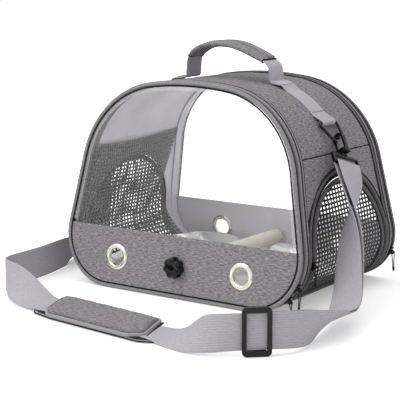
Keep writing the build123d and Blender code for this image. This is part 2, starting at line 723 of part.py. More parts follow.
strap_across = [
    (0.202, 0.932, -0.301),
    (0.202, 0.932, -0.301),
    (-0.3, 0.93, -0.2),
    (-0.75, 0.6, -0.1),
    (-0.97, 0.25, 0),
    (-1, 0.1, 0),
    (-1, 0, 0.1),
    (-0.93, 0, 0.35),
    (-0.75, 0, 0.66),
    (-0.45, 0, 0.9),
    (-0.15, 0, 1),
    (0, 0, 1),
    (0, 0, 1),
    (0, 0, 1),
    (0, 0.35, 0.94),
    (0, 0.7, 0.7),
    (0.1, 0.93, 0.35),
    (0.118, 0.993, 0),
    (0.118, 0.993, 0),
    (0.1, 0.93, 0.35),
    (0.2, 0.75, 0.65),
    (0.2, 0.4, 0.9),
    (0, 0, 1),
    (0, 0, 1),
    (0, 0, 1),
    (0, 0, 1),
    (0, 0, 1),
    (0, 0, 1),
    (0.1, 0, 1),
    (0.6, 0, 0.8),
    (1, 0, 0),
    (1, 0, 0),
    (1, 0, 0),
    (0.95, 0.3, 0),
    (0.8, 0.6, 0),
    (0.55, 0.83, 0),
    (0.3, 0.95, 0),
    (0.1, 1, 0),
    (-0.202, 0.932, -0.301),
    (-0.202, 0.932, -0.301),
]
return_points = [
    (165.5, -12, 159.8),
    (174.8, -18.5, 145.9),
    (182.8, -29.5, 121.5),
    (188, -38.5, 96),
    (191.5, -47, 70),
    (197.5, -60.5, 46),
    (205.6, -80, 24.7),
    (214.2, -106, 14.2),
    (221.6, -135, 15.2),
    (225.4, -162.8, 17.8),
    (225.9, -187.9, 20.2),
    (223.4, -209.9, 23),
    (217.5, -229, 25.5),
    (195.8, -248.5, 25.5),
]


def strap_run(name, points, across, width, thickness):
    """Webbing on straight runs joined by tangent arcs, as ruled stretches between flat sections."""
    corners = [Vector(*point) for point in points]
    widths = [Vector(*direction).normalized() for direction in across]
    lengths = [(b - a).length for a, b in zip(corners, corners[1:])]
    heads = [(b - a).normalized() for a, b in zip(corners, corners[1:])]
    frames = [(corners[0], heads[0], 0.0)]
    stations = [0.0]
    radii = []
    travelled = 0.0
    last_tangent = 0.0
    for index in range(1, len(corners) - 1):
        turn = radians(heads[index - 1].get_angle(heads[index]))
        tangent = 0.45 * min(lengths[index - 1], lengths[index])
        radius = tangent / tan(turn / 2)
        radii.append(round(radius))
        travelled += lengths[index - 1] - last_tangent - tangent
        last_tangent = tangent
        into = heads[index - 1]
        aside = (heads[index] - into * cos(turn)).normalized()
        start = corners[index] - into * tangent
        steps = max(1, round(degrees(turn) / strap_facet))
        for step in range(steps + 1):
            angle = turn * step / steps
            spot = start + into * (radius * sin(angle)) + aside * (radius * (1 - cos(angle)))
            head = into * cos(angle) + aside * sin(angle)
            frames.append((spot, head, travelled + radius * angle))
        stations.append(travelled + radius * turn / 2)
        travelled += radius * turn
    travelled += lengths[-1] - last_tangent
    stations.append(travelled)
    frames.append((corners[-1], heads[-1], travelled))
    rings = []
    for spot, head, reached in frames:
        before = max(index for index, station in enumerate(stations[:-1]) if station <= reached)
        share = (reached - stations[before]) / (stations[before + 1] - stations[before])
        wide = widths[before] * (1 - share) + widths[before + 1] * share
        wide = (wide - head * wide.dot(head)).normalized() * (width / 2)
        thick = head.cross(wide).normalized() * (thickness / 2)
        rings.append([spot + wide + thick, spot - wide + thick, spot - wide - thick, spot + wide - thick])
    faces = [Face(Wire.make_polygon(rings[0], close=True)), Face(Wire.make_polygon(rings[-1], close=True))]
    for ring_a, ring_b in zip(rings, rings[1:]):
        for index in range(4):
            after = (index + 1) % 4
            edge_a = Edge.make_line(ring_a[index], ring_a[after])
            edge_b = Edge.make_line(ring_b[index], ring_b[after])
            faces.append(Face.make_surface_from_curves(edge_a, edge_b))
    print(name, "radii", radii, "shortest run", round(min(lengths)), "longest", round(max(lengths)))
    print(name, "length", round(travelled), "volume by length", round(travelled * width * thickness))
    return Solid(Shell(faces))


nodes["shoulder_strap"] = strap_run("strap", strap_points, strap_across, strap_width, strap_thickness)
return_across = strap_across[: len(return_points)]
nodes["shoulder_strap_return"] = strap_run(
    "return", return_points, return_across, strap_width, strap_thickness
)

pad_plane = Plane(origin=(pad_centre[0], pad_centre[1], floor_gap + pad_thickness / 2))
pad_plane = pad_plane.rotated((0, 0, pad_turn))
pad_block = extrude(
    pad_plane * RectangleRounded(pad_length, pad_width, pad_corner), amount=pad_thickness / 2, both=True
)
pad_slot = extrude(
    pad_plane * Rectangle(2 * pad_length, strap_width + 2 * soft_gap),
    amount=strap_thickness / 2 + soft_gap,
    both=True,
)
nodes["shoulder_pad"] = pad_block - pad_slot

# ---------------------------------------------------------------- strap adjuster
adjuster_middle = (Vector(*strap_points[12]) + Vector(*strap_points[13])) * 0.5
adjuster_along = (Vector(*strap_points[12]) - Vector(*strap_points[13])).normalized()
adjuster_plane = Plane(
    origin=(adjuster_middle.X, adjuster_middle.Y, floor_gap + adjuster_height / 2),
    x_dir=adjuster_along,
    z_dir=adjuster_along.cross(Vector(0, 0, 1)),
)
strap_room = strap_thickness / 2 + soft_gap
slot_height = strap_width + 2 * soft_gap
outer_face = RectangleRounded(adjuster_length, adjuster_height, adjuster_corner)
rail_height = (adjuster_height - slot_height) / 2
frame_face = outer_face - Rectangle(adjuster_length - 2 * adjuster_bar, slot_height)
front_frame = extrude(adjuster_plane.offset(strap_room) * frame_face, amount=adjuster_front)
adjuster = front_frame
for side in (-1, 1):
    rail = Pos(0, side * (slot_height + rail_height) / 2) * Rectangle(adjuster_rail, rail_height)
    depth_low = -strap_room - adjuster_back
    adjuster = adjuster + extrude(adjuster_plane.offset(depth_low) * rail, amount=-depth_low + strap_room + 1)
middle_bar = Rectangle(adjuster_bar, adjuster_height - 2)
back_plane = adjuster_plane.offset(-strap_room - adjuster_back)
adjuster = adjuster + extrude(back_plane * middle_bar, amount=adjuster_back)
nodes["strap_slider"] = adjuster

# ---------------------------------------------------------------- files
os.makedirs("parts", exist_ok=True)
for name, shape in nodes.items():
    export_step(shape, "parts/" + name + ".step")
print(len(nodes), "nodes")
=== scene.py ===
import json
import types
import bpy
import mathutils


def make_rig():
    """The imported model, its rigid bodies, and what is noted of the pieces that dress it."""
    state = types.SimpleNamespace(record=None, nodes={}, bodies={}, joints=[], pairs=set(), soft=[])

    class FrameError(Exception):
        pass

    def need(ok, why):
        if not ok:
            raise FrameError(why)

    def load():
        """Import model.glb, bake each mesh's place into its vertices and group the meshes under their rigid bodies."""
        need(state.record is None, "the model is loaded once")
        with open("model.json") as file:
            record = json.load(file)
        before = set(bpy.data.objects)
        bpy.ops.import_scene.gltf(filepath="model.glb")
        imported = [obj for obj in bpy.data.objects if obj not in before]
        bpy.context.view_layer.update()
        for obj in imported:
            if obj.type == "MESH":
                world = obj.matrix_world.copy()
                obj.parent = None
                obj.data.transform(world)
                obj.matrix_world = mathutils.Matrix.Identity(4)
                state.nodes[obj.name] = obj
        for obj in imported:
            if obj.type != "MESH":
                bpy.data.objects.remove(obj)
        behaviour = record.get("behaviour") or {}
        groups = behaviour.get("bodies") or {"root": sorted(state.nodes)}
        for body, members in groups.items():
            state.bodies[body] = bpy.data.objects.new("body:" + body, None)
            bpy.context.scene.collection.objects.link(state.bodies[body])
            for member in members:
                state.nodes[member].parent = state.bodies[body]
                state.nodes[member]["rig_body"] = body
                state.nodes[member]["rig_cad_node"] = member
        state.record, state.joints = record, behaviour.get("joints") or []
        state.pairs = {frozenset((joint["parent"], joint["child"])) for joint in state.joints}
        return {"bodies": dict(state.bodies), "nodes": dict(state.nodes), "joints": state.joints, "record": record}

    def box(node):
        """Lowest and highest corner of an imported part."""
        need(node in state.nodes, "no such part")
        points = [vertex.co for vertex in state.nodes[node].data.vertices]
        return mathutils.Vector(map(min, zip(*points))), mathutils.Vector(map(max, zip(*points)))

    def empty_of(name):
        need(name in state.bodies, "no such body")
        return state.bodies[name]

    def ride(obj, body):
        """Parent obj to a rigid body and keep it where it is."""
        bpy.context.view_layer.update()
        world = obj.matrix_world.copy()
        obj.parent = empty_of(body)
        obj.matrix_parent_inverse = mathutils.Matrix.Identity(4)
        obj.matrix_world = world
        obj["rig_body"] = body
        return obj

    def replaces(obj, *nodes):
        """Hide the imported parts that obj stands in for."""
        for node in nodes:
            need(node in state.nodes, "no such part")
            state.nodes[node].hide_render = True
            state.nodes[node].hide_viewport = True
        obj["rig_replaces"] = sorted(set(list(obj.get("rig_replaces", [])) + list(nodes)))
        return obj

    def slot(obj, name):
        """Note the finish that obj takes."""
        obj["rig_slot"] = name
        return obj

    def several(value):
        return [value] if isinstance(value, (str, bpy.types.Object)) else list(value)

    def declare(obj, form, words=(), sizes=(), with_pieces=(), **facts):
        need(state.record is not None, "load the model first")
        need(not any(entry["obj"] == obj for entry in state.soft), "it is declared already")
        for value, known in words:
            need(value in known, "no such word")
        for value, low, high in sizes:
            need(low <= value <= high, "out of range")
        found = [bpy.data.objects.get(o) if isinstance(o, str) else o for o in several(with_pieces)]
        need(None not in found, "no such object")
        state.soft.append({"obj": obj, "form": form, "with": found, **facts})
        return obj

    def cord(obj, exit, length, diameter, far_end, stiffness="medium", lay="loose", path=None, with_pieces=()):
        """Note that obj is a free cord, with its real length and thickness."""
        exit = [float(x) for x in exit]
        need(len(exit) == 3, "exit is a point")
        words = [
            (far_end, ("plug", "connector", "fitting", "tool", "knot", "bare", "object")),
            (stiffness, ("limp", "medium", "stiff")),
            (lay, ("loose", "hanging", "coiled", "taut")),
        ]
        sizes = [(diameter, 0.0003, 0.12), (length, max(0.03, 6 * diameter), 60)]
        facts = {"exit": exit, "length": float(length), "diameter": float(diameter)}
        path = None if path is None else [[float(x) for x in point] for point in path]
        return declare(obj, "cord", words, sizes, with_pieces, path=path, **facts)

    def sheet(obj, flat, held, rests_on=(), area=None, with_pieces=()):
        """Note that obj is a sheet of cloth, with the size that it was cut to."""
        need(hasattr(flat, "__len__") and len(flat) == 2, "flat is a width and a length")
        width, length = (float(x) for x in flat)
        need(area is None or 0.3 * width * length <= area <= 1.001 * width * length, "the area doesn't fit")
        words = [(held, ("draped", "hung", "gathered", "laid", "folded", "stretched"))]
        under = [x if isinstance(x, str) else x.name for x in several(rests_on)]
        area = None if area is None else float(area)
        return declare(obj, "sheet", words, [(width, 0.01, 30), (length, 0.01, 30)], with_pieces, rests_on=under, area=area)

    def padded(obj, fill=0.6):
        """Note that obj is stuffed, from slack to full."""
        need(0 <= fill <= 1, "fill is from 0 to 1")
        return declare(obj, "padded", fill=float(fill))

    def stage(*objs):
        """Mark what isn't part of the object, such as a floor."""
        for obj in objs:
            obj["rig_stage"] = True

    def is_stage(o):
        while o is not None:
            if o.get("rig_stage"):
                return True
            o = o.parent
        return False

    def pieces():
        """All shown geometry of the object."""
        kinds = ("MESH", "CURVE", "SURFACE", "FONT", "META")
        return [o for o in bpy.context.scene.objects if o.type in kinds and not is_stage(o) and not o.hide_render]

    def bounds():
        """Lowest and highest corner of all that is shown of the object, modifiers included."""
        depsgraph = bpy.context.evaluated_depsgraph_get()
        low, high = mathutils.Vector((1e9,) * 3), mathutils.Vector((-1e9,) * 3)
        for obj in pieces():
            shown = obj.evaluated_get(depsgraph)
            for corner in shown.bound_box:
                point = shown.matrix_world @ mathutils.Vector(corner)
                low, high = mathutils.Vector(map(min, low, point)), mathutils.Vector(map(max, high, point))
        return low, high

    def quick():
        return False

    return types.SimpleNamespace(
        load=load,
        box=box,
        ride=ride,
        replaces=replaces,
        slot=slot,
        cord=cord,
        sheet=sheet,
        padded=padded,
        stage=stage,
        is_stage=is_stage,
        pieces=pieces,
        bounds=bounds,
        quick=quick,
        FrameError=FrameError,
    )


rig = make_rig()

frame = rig.load()

# %% [markdown]
# # A soft bird travel carrier, dressed in Blender
# The frame is a CAD model of the carrier: its real sizes, its solids and its joints. This notebook
# gives it its looks. Each cell makes one piece or one finish, in metres, in the CAD model's own place.

# %% Tools and the frame's box
import json
from math import acos, asin, atan2, cos, hypot, pi, radians, sin, sqrt, tan

import bmesh
import bpy
from mathutils import Matrix, Vector, noise

mm = 0.001
cad_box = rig.bounds()
nodes = frame["nodes"]
front, rear = -1, 1
ends = {front: "front", rear: "rear"}
sides = {-1: "left", 1: "right"}


def clamp(value):
    """A value kept between 0 and 1."""
    return min(1, max(0, value))


print("CAD box", [[round(value, 3) for value in corner] for corner in cad_box], len(nodes), "nodes")

# %% [markdown]
# ## Camera
# The camera stands to the right of the front door, a little above the roof. Its long lens keeps the two
# end faces nearly the same size.

# %% Camera
camera_azimuth = radians(35.18)
camera_elevation = radians(10.29)
camera_distance = 1.6239
camera_target = Vector((-0.02645, -0.0285, 0.09971))

away = Vector((sin(camera_azimuth), -cos(camera_azimuth), 0)) * cos(camera_elevation)
away.z = sin(camera_elevation)
camera = bpy.data.objects.new("camera", bpy.data.cameras.new("camera"))
camera.data.lens = 122.0
camera.location = camera_target + away * camera_distance
camera.rotation_euler = (-away).to_track_quat("-Z", "Y").to_euler()
bpy.context.collection.objects.link(camera)
bpy.context.scene.camera = camera
print("camera at", [round(value, 3) for value in camera.location])

# %% [markdown]
# ## Small helpers for shader nodes
# A procedural finish is a short chain of nodes. `Finish` keeps the chain readable: each call adds one
# node, joins its inputs and hands back its output. Cloth patterns read the UV map, which every
# cloth piece carries in metres: U across the piece and V along it.

# %% A helper that builds finishes
class Finish:
    def __init__(self, name, roughness, **settings):
        self.material = bpy.data.materials.new(name)
        self.material.use_nodes = True
        self.tree = self.material.node_tree
        self.shader = self.tree.nodes["Principled BSDF"]
        self.shader.inputs["Roughness"].default_value = roughness
        for label, value in settings.items():
            self.shader.inputs[label.replace("_", " ")].default_value = value

    def feed(self, socket, value):
        """Join a socket to another node's output, or set it to a plain value."""
        if isinstance(value, bpy.types.NodeSocket):
            self.tree.links.new(value, socket)
        else:
            socket.default_value = value

    def node(self, kind, output=0, **inputs):
        """Add a node, set or join its inputs by name, and hand back one of its outputs."""
        made = self.tree.nodes.new(kind)
        for label, value in inputs.items():
            self.feed(made.inputs[label.replace("_", " ")], value)
        return made.outputs[output]

    def maths(self, operation, first, second=0.0):
        made = self.tree.nodes.new("ShaderNodeMath")
        made.operation = operation
        for socket, value in zip(made.inputs, (first, second)):
            self.feed(socket, value)
        return made.outputs[0]

    def place(self, source="UV", scale=(1, 1, 1), turn=0.0):
        """Coordinates in metres times a scale."""
        coordinates = self.tree.nodes.new("ShaderNodeTexCoord").outputs[source]
        return self.node("ShaderNodeMapping", Vector=coordinates, Scale=scale, Rotation=(0, 0, turn))

    def speckle(self, place, scale=1.0, detail=2.0):
        return self.node("ShaderNodeTexNoise", Vector=place, Scale=scale, Detail=detail)

    def wave(self, axis, pitch, source="UV"):
        """A sine from -1 to 1 along one axis, one wave for each pitch in metres."""
        coordinates = self.tree.nodes.new("ShaderNodeTexCoord").outputs[source]
        split = self.tree.nodes.new("ShaderNodeSeparateXYZ")
        self.tree.links.new(coordinates, split.inputs[0])
        return self.maths("SINE", self.maths("MULTIPLY", split.outputs[axis], 2 * pi / pitch))

    def ramp(self, value, *stops):
        """A colour ramp; each stop is (position, colour)."""
        made = self.tree.nodes.new("ShaderNodeValToRGB")
        band = made.color_ramp
        while len(band.elements) < len(stops):
            band.elements.new(0.5)
        for element, (position, colour) in zip(band.elements, stops):
            element.position = position
            element.color = (*colour, 1)
        self.tree.links.new(value, made.inputs[0])
        return made.outputs[0]

    def colour(self, value):
        self.tree.links.new(value, self.shader.inputs["Base Color"])

    def rough(self, value):
        self.tree.links.new(value, self.shader.inputs["Roughness"])

    def bump(self, height, distance, strength=1.0):
        normal = self.node("ShaderNodeBump", Height=height, Distance=distance, Strength=strength)
        self.tree.links.new(normal, self.shader.inputs["Normal"])


def grey(value, violet=0.0, blue=0.0):
    """Linear colour of a grey given as 0 to 255 on a screen, with a touch of violet or blue."""
    base = (value / 255) ** 2.2
    return (base, base * (1 - violet), base * (1 + blue))


print("finish helper ready; mid grey is", round(grey(128)[0], 3))

# %% [markdown]
# ## Heathered cloth
# The walls are a grey melange canvas: light and dark fibres are spun into one yarn, so the cloth shows
# short streaks, most of them lengthwise. Two noises, one stretched along U and one along V, give the
# streaks, and two sines give the plain weave as bump.

# %% Heathered cloth
def heathered(name, level, contrast=1.0, source="UV"):
    finish = Finish(name, 0.95, Specular_IOR_Level=0.15)
    wide = finish.speckle(finish.place(source, (170, 1000, 600)), 1.0, 4.0)
    tall = finish.speckle(finish.place(source, (1000, 300, 500)), 1.0, 4.0)
    streaks = finish.maths("MULTIPLY", wide, 0.65)
    streaks = finish.maths("ADD", streaks, finish.maths("MULTIPLY", tall, 0.35))
    spread = 31 * contrast
    dark, middle, light = (grey(value, 0.05, 0.0) for value in (level - spread, level, level + spread))
    finish.colour(finish.ramp(streaks, (0.38, dark), (0.5, middle), (0.62, light)))
    weave = finish.maths("MULTIPLY", finish.wave(0, 1.1 * mm, source), finish.wave(1, 1.1 * mm, source))
    height = finish.maths("ADD", finish.maths("MULTIPLY", weave, 0.3), streaks)
    finish.bump(height, 0.3 * mm, 0.7)
    return finish.material


wall_cloth = heathered("heathered_cloth", 132)
door_cloth = heathered("door_cloth", 143)
pad_cloth = heathered("pad_cloth", 134)
piping_cloth = heathered("piping_cloth", 146, 0.5)
# A darker copy of the piping cloth, as painted shade: it dresses the side doorways' cords and the rear edge tape.
doorway_cloth = heathered("doorway_cloth", 104, 0.5)
print("heathered cloths:", wall_cloth.name, door_cloth.name, pad_cloth.name, piping_cloth.name)

# %% [markdown]
# ## Lining, webbing, zipper tape and net
# The lining is a smooth coated cloth, a little glossy. The webbing is woven in fine ribs that run
# along it, with a faint cross thread. Zipper tape and net are dull black yarn.

# %% Lining and webbing
def lining():
    finish = Finish("lining", 0.55, Specular_IOR_Level=0.4)
    cloud = finish.speckle(finish.place("Object", (25, 25, 25)), 1.0, 3.0)
    finish.colour(finish.ramp(cloud, (0.3, grey(226, 0.02, 0.03)), (0.7, grey(242, 0.02, 0.03))))
    finish.bump(cloud, 1.5 * mm, 0.3)
    return finish.material


def webbing():
    finish = Finish("webbing", 0.7, Specular_IOR_Level=0.3)
    ribs = finish.wave(0, 2.6 * mm)
    threads = finish.maths("MULTIPLY", finish.wave(1, 1.3 * mm), finish.wave(0, 1.3 * mm))
    fibre = finish.speckle(finish.place("UV", (900, 180, 1)), 1.0, 3.0)
    height = finish.maths("ADD", finish.maths("MULTIPLY", ribs, 0.5), finish.maths("MULTIPLY", threads, 0.2))
    shade = finish.maths("ADD", finish.maths("MULTIPLY", ribs, 0.12), fibre)
    stops = [(share, grey(level, 0.04, 0.05)) for share, level in ((0.25, 164), (0.5, 175), (0.8, 186))]
    finish.colour(finish.ramp(shade, *stops))
    finish.bump(height, 0.3 * mm, 0.7)
    return finish.material


def dull_black(name, level, roughness):
    finish = Finish(name, roughness, Specular_IOR_Level=0.3)
    fibre = finish.speckle(finish.place("Object", (700, 700, 700)), 1.0, 2.0)
    finish.colour(finish.ramp(fibre, (0.3, grey(level * 0.7)), (0.7, grey(level * 1.3))))
    finish.bump(fibre, 0.2 * mm, 0.5)
    return finish.material


lining_cloth = lining()
strap_webbing = webbing()
zipper_tape = dull_black("zipper_tape", 34, 0.8)
# Near-black finish for painted shade: thin rows and sheets laid in grooves, seams and mouths where shade falls.
painted_shade = dull_black("painted_shade", 30, 0.9)
net_yarn = dull_black("net_yarn", 36, 0.6)
inner_yarn = dull_black("inner_yarn", 92, 0.6)
pale_thread = dull_black("pale_thread", 190, 0.8)
black_cord = dull_black("black_cord", 34, 0.7)
seam_thread = dull_black("seam_thread", 62, 0.8)
print("lining, webbing, tape, net and thread ready")

# %% [markdown]
# ## Hard finishes
# Black enamelled metal for hooks and rings, moulded black plastic for the adjuster and the star knob,
# pale gilt metal for the eyelets, steel for the bolt, light wood for the perch, bright foil for the tray
# and clear film for the windows.

# %% Hard finishes
def moulded(name, level, roughness, metal=0.0, grain=500.0, relief=0.1, tint=0.0, shine=0.5):
    finish = Finish(name, roughness, Metallic=metal, Specular_IOR_Level=shine)
    specks = finish.speckle(finish.place("Object", (grain, grain, grain)), 1.0, 3.0)
    smear = finish.speckle(finish.place("Object", (40, 40, 40)), 1.0, 2.0)
    finish.colour(finish.ramp(smear, (0.3, grey(level * 0.9, tint)), (0.7, grey(level * 1.08, tint))))
    spread = finish.maths("MULTIPLY", finish.maths("SUBTRACT", smear, 0.5), 0.25)
    finish.rough(finish.maths("ADD", spread, roughness))
    finish.bump(specks, relief * mm, 0.4)
    return finish.material


def gilt():
    finish = Finish("gilt_metal", 0.2, Metallic=1.0)
    smear = finish.speckle(finish.place("Object", (90, 90, 90)), 1.0, 3.0)
    finish.colour(finish.ramp(smear, (0.3, (0.66, 0.62, 0.50)), (0.7, (0.84, 0.81, 0.70))))
    finish.rough(finish.maths("ADD", finish.maths("MULTIPLY", smear, 0.2), 0.12))
    finish.bump(smear, 0.1 * mm, 0.3)
    return finish.material


def light_wood():
    finish = Finish("light_wood", 0.5, Specular_IOR_Level=0.4)
    grain = finish.speckle(finish.place("Object", (420, 14, 420)), 1.0, 4.0)
    cloud = finish.speckle(finish.place("Object", (60, 8, 60)), 1.0, 2.0)
    shade = finish.maths("ADD", finish.maths("MULTIPLY", grain, 0.6), finish.maths("MULTIPLY", cloud, 0.4))
    wood_dark, wood, wood_light = (0.84, 0.76, 0.60), (0.95, 0.90, 0.78), (0.98, 0.95, 0.88)
    finish.colour(finish.ramp(shade, (0.35, wood_dark), (0.5, wood), (0.65, wood_light)))
    finish.bump(grain, 0.15 * mm, 0.4)
    return finish.material


def foil():
    finish = Finish("bright_foil", 0.2, Metallic=0.4)
    creases = finish.tree.nodes.new("ShaderNodeTexVoronoi")
    creases.feature = "DISTANCE_TO_EDGE"
    creases.inputs["Scale"].default_value = 1.0
    finish.tree.links.new(finish.place("Object", (55, 70, 55)), creases.inputs["Vector"])
    cloud = finish.speckle(finish.place("Object", (45, 45, 45)), 1.0, 4.0)
    finish.colour(finish.ramp(cloud, (0.3, grey(225)), (0.7, grey(250))))
    finish.rough(finish.maths("ADD", finish.maths("MULTIPLY", cloud, 0.25), 0.1))
    height = finish.maths("ADD", finish.maths("MINIMUM", creases.outputs["Distance"], 0.12), cloud)
    finish.bump(height, 4 * mm, 0.6)
    return finish.material


def clear_film(name, least):
    finish = Finish(name, 0.05, Specular_IOR_Level=0.6, Coat_Weight=0.3, Coat_Roughness=0.04)
    cloud = finish.speckle(finish.place("Object", (18, 18, 18)), 1.0, 3.0)
    finish.colour(finish.ramp(cloud, (0.3, grey(215)), (0.7, grey(240))))
    finish.bump(cloud, 2.5 * mm, 0.5)
    edge = finish.node("ShaderNodeLayerWeight", 1, Blend=0.5)
    veil = finish.maths("MULTIPLY", finish.maths("POWER", edge, 4.0), 0.35)
    finish.tree.links.new(finish.maths("ADD", veil, least), finish.shader.inputs["Alpha"])
    return finish.material


black_metal = moulded("black_metal", 14, 0.25, relief=0.05, shine=0.28)
black_plastic = moulded("black_plastic", 26, 0.4, relief=0.08, shine=0.25)
knob_plastic = moulded("knob_plastic", 8, 0.12, relief=0.02, shine=0.3)
bolt_steel = moulded("bolt_steel", 180, 0.3, metal=1.0)
board_plastic = moulded("board_plastic", 120, 0.6)
eyelet_metal = gilt()
perch_wood = light_wood()
tray_foil = foil()
window_film = clear_film("clear_film", 0.04)
# A more opaque copy of the film, for a painted highlight along the window's edge.
film_edge_highlight = clear_film("film_edge_highlight", 0.22)
print("hard finishes ready")

# %% [markdown]
# ## Sweeping a section along a path
# Piping, tape, webbing and bindings are all one thing to a modeller: a flat or round section carried
# along a path. `sweep` sets the section square to the path and upright to a given outward direction at
# each point. It writes UVs in metres, so that a weave keeps its scale on every piece.

# %% Sweep
def link(name, mesh):
    piece = bpy.data.objects.new(name, mesh)
    bpy.context.collection.objects.link(piece)
    return piece


def mesh_from(builder, name, material, smooth_angle=40):
    bmesh.ops.recalc_face_normals(builder, faces=builder.faces)
    mesh = bpy.data.meshes.new(name)
    builder.to_mesh(mesh)
    builder.free()
    mesh.materials.append(material)
    mesh.polygons.foreach_set("use_smooth", [True] * len(mesh.polygons))
    mesh.set_sharp_from_angle(angle=radians(smooth_angle))
    return mesh


def baked(piece):
    """A piece's mesh as its modifiers leave it."""
    depsgraph = bpy.context.evaluated_depsgraph_get()
    return bpy.data.meshes.new_from_object(piece.evaluated_get(depsgraph), depsgraph=depsgraph)


def bridge(builder, rings, looped=False):
    """Join each ring of points to the next; the last one meets the first, or both ends are capped."""
    following = rings[1:] + rings[:1] if looped else rings[1:]
    for ring, after in zip(rings, following):
        for k in range(len(ring)):
            n = (k + 1) % len(ring)
            builder.faces.new((ring[k], ring[n], after[n], after[k]))
    if not looped:
        builder.faces.new(rings[0])
        builder.faces.new(rings[-1])


def tube(name, rings, around, steps, material, angle=40, closed=False):
    """Solid through rings of points; its UVs are metres round a ring and along the steps."""
    builder = bmesh.new()
    uv = builder.loops.layers.uv.new("UVMap")
    made = [[builder.verts.new(point) for point in ring] for ring in rings]
    size = len(rings[0])
    reached = 0.0
    for index, step in enumerate(steps):
        after = (index + 1) % len(made)
        for k in range(size):
            n = (k + 1) % size
            corners = (
                (made[index][k], around[k], reached),
                (made[index][n], around[k + 1], reached),
                (made[after][n], around[k + 1], reached + step),
                (made[after][k], around[k], reached + step),
            )
            face = builder.faces.new([corner[0] for corner in corners])
            for loop, corner in zip(face.loops, corners):
                loop[uv].uv = corner[1:]
        reached += step
    if not closed:
        builder.faces.new(made[0])
        builder.faces.new(made[-1][::-1])
    return link(name, mesh_from(builder, name, material, angle))


def sweep(name, path, ups, section, material, closed=False):
    """Solid of a section, given as (side, up) pairs, along a path of points."""
    count = len(path)
    rings, steps = [], []
    for index, point in enumerate(path):
        before = path[index - 1] if index or closed else point
        after = path[(index + 1) % count] if index < count - 1 or closed else point
        tangent = (after - before).normalized()
        up = (ups[index] - tangent * ups[index].dot(tangent)).normalized()
        side = tangent.cross(up)
        rings.append([point + side * a + up * b for a, b in section])
        steps.append((after - point).length)
    around = [0.0]
    for (a, b), (c, d) in zip(section, section[1:] + section[:1]):
        around.append(around[-1] + hypot(c - a, d - b))
    return tube(name, rings, around, steps if closed else steps[:-1], material, closed=closed)


print("sweep ready")

# %% [markdown]
# ## Sections, and how a piece joins the frame
# A section is a list of (side, up) places: round for cord, flat with round edges for webbing, square for
# tape. `dress` lets a finished piece ride on a body, gives it a slot, and names the CAD nodes that it
# stands for.

# %% Sections and dress
def round_section(radius, sides=12):
    return [(radius * cos(2 * pi * k / sides), radius * sin(2 * pi * k / sides)) for k in range(sides)]


def flat_section(width, thickness, across=8):
    """Webbing: flat faces with round edges."""
    half, edge = width / 2 - thickness / 2, thickness / 2
    top = [(half - 2 * half * k / across, edge) for k in range(across + 1)]
    left = [(-half - edge * sin(a), edge * cos(a)) for a in (pi / 4, pi / 2, 3 * pi / 4)]
    low = [(-half + 2 * half * k / across, -edge) for k in range(across + 1)]
    right = [(half + edge * sin(a), -edge * cos(a)) for a in (pi / 4, pi / 2, 3 * pi / 4)]
    return top + left + low + right


def block_section(width, low, high):
    """Rectangle of a width between two heights."""
    return [(width / 2, low), (width / 2, high), (-width / 2, high), (-width / 2, low)]


def dress(piece, body, slot, *replaced):
    """Let a finished piece ride on a body, take a slot's finish and stand for CAD nodes."""
    if replaced:
        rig.replaces(piece, *replaced)
    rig.ride(piece, body)
    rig.slot(piece, slot)
    return piece


print("a cord's section has", len(round_section(mm)), "places")

# %% [markdown]
# ## The shoulder strap
# About 1.1 m of 38 mm webbing goes from the right hook down to the floor, through the adjuster and the
# pad, round the front left corner and up behind to the left hook. A free strap is a smooth NURBS line
# through given points. A second NURBS line, set off by half the width at each point, carries the
# strap's edge: it tells how the webbing is turned, on edge along the floor and flat in the pad.

# %% The strap's route and how it is turned
strap_points = [
    (0.1608, -0.012, 0.1567),
    (0.1702, -0.0185, 0.1428),
    (0.178, -0.031, 0.1195),
    (0.1845, -0.0425, 0.096),
    (0.19, -0.052, 0.072),
    (0.197, -0.065, 0.049),
    (0.206, -0.083, 0.029),
    (0.216, -0.107, 0.019),
    (0.225, -0.134, 0.019),
    (0.23, -0.162, 0.02),
    (0.231, -0.188, 0.021),
    (0.228, -0.211, 0.023),
    (0.221, -0.232, 0.0255),
    (0.177, -0.272, 0.0255),
    (0.154, -0.277, 0.0215),
    (0.131, -0.272, 0.014),
    (0.108, -0.262, 0.007),
    (0.0834, -0.2549, 0.0045),
    (-0.0914, -0.2341, 0.0045),
    (-0.115, -0.2295, 0.0085),
    (-0.137, -0.222, 0.014),
    (-0.158, -0.213, 0.0185),
    (-0.176, -0.205, 0.0198),
    (-0.19, -0.195, 0.0198),
    (-0.194, -0.176, 0.0198),
    (-0.194, -0.148, 0.0198),
    (-0.196, -0.12, 0.0198),
    (-0.202, -0.09, 0.0198),
    (-0.209, -0.06, 0.0198),
    (-0.213, -0.037, 0.015),
    (-0.216, -0.018, 0.007),
    (-0.218, -0.001, 0.0085),
    (-0.219, 0.008, 0.022),
    (-0.216, 0.005, 0.04),
    (-0.21, -0.002, 0.058),
    (-0.202, -0.01, 0.077),
    (-0.194, -0.016, 0.098),
    (-0.185, -0.021, 0.121),
    (-0.1748, -0.0185, 0.1459),
    (-0.1655, -0.012, 0.1598),
]
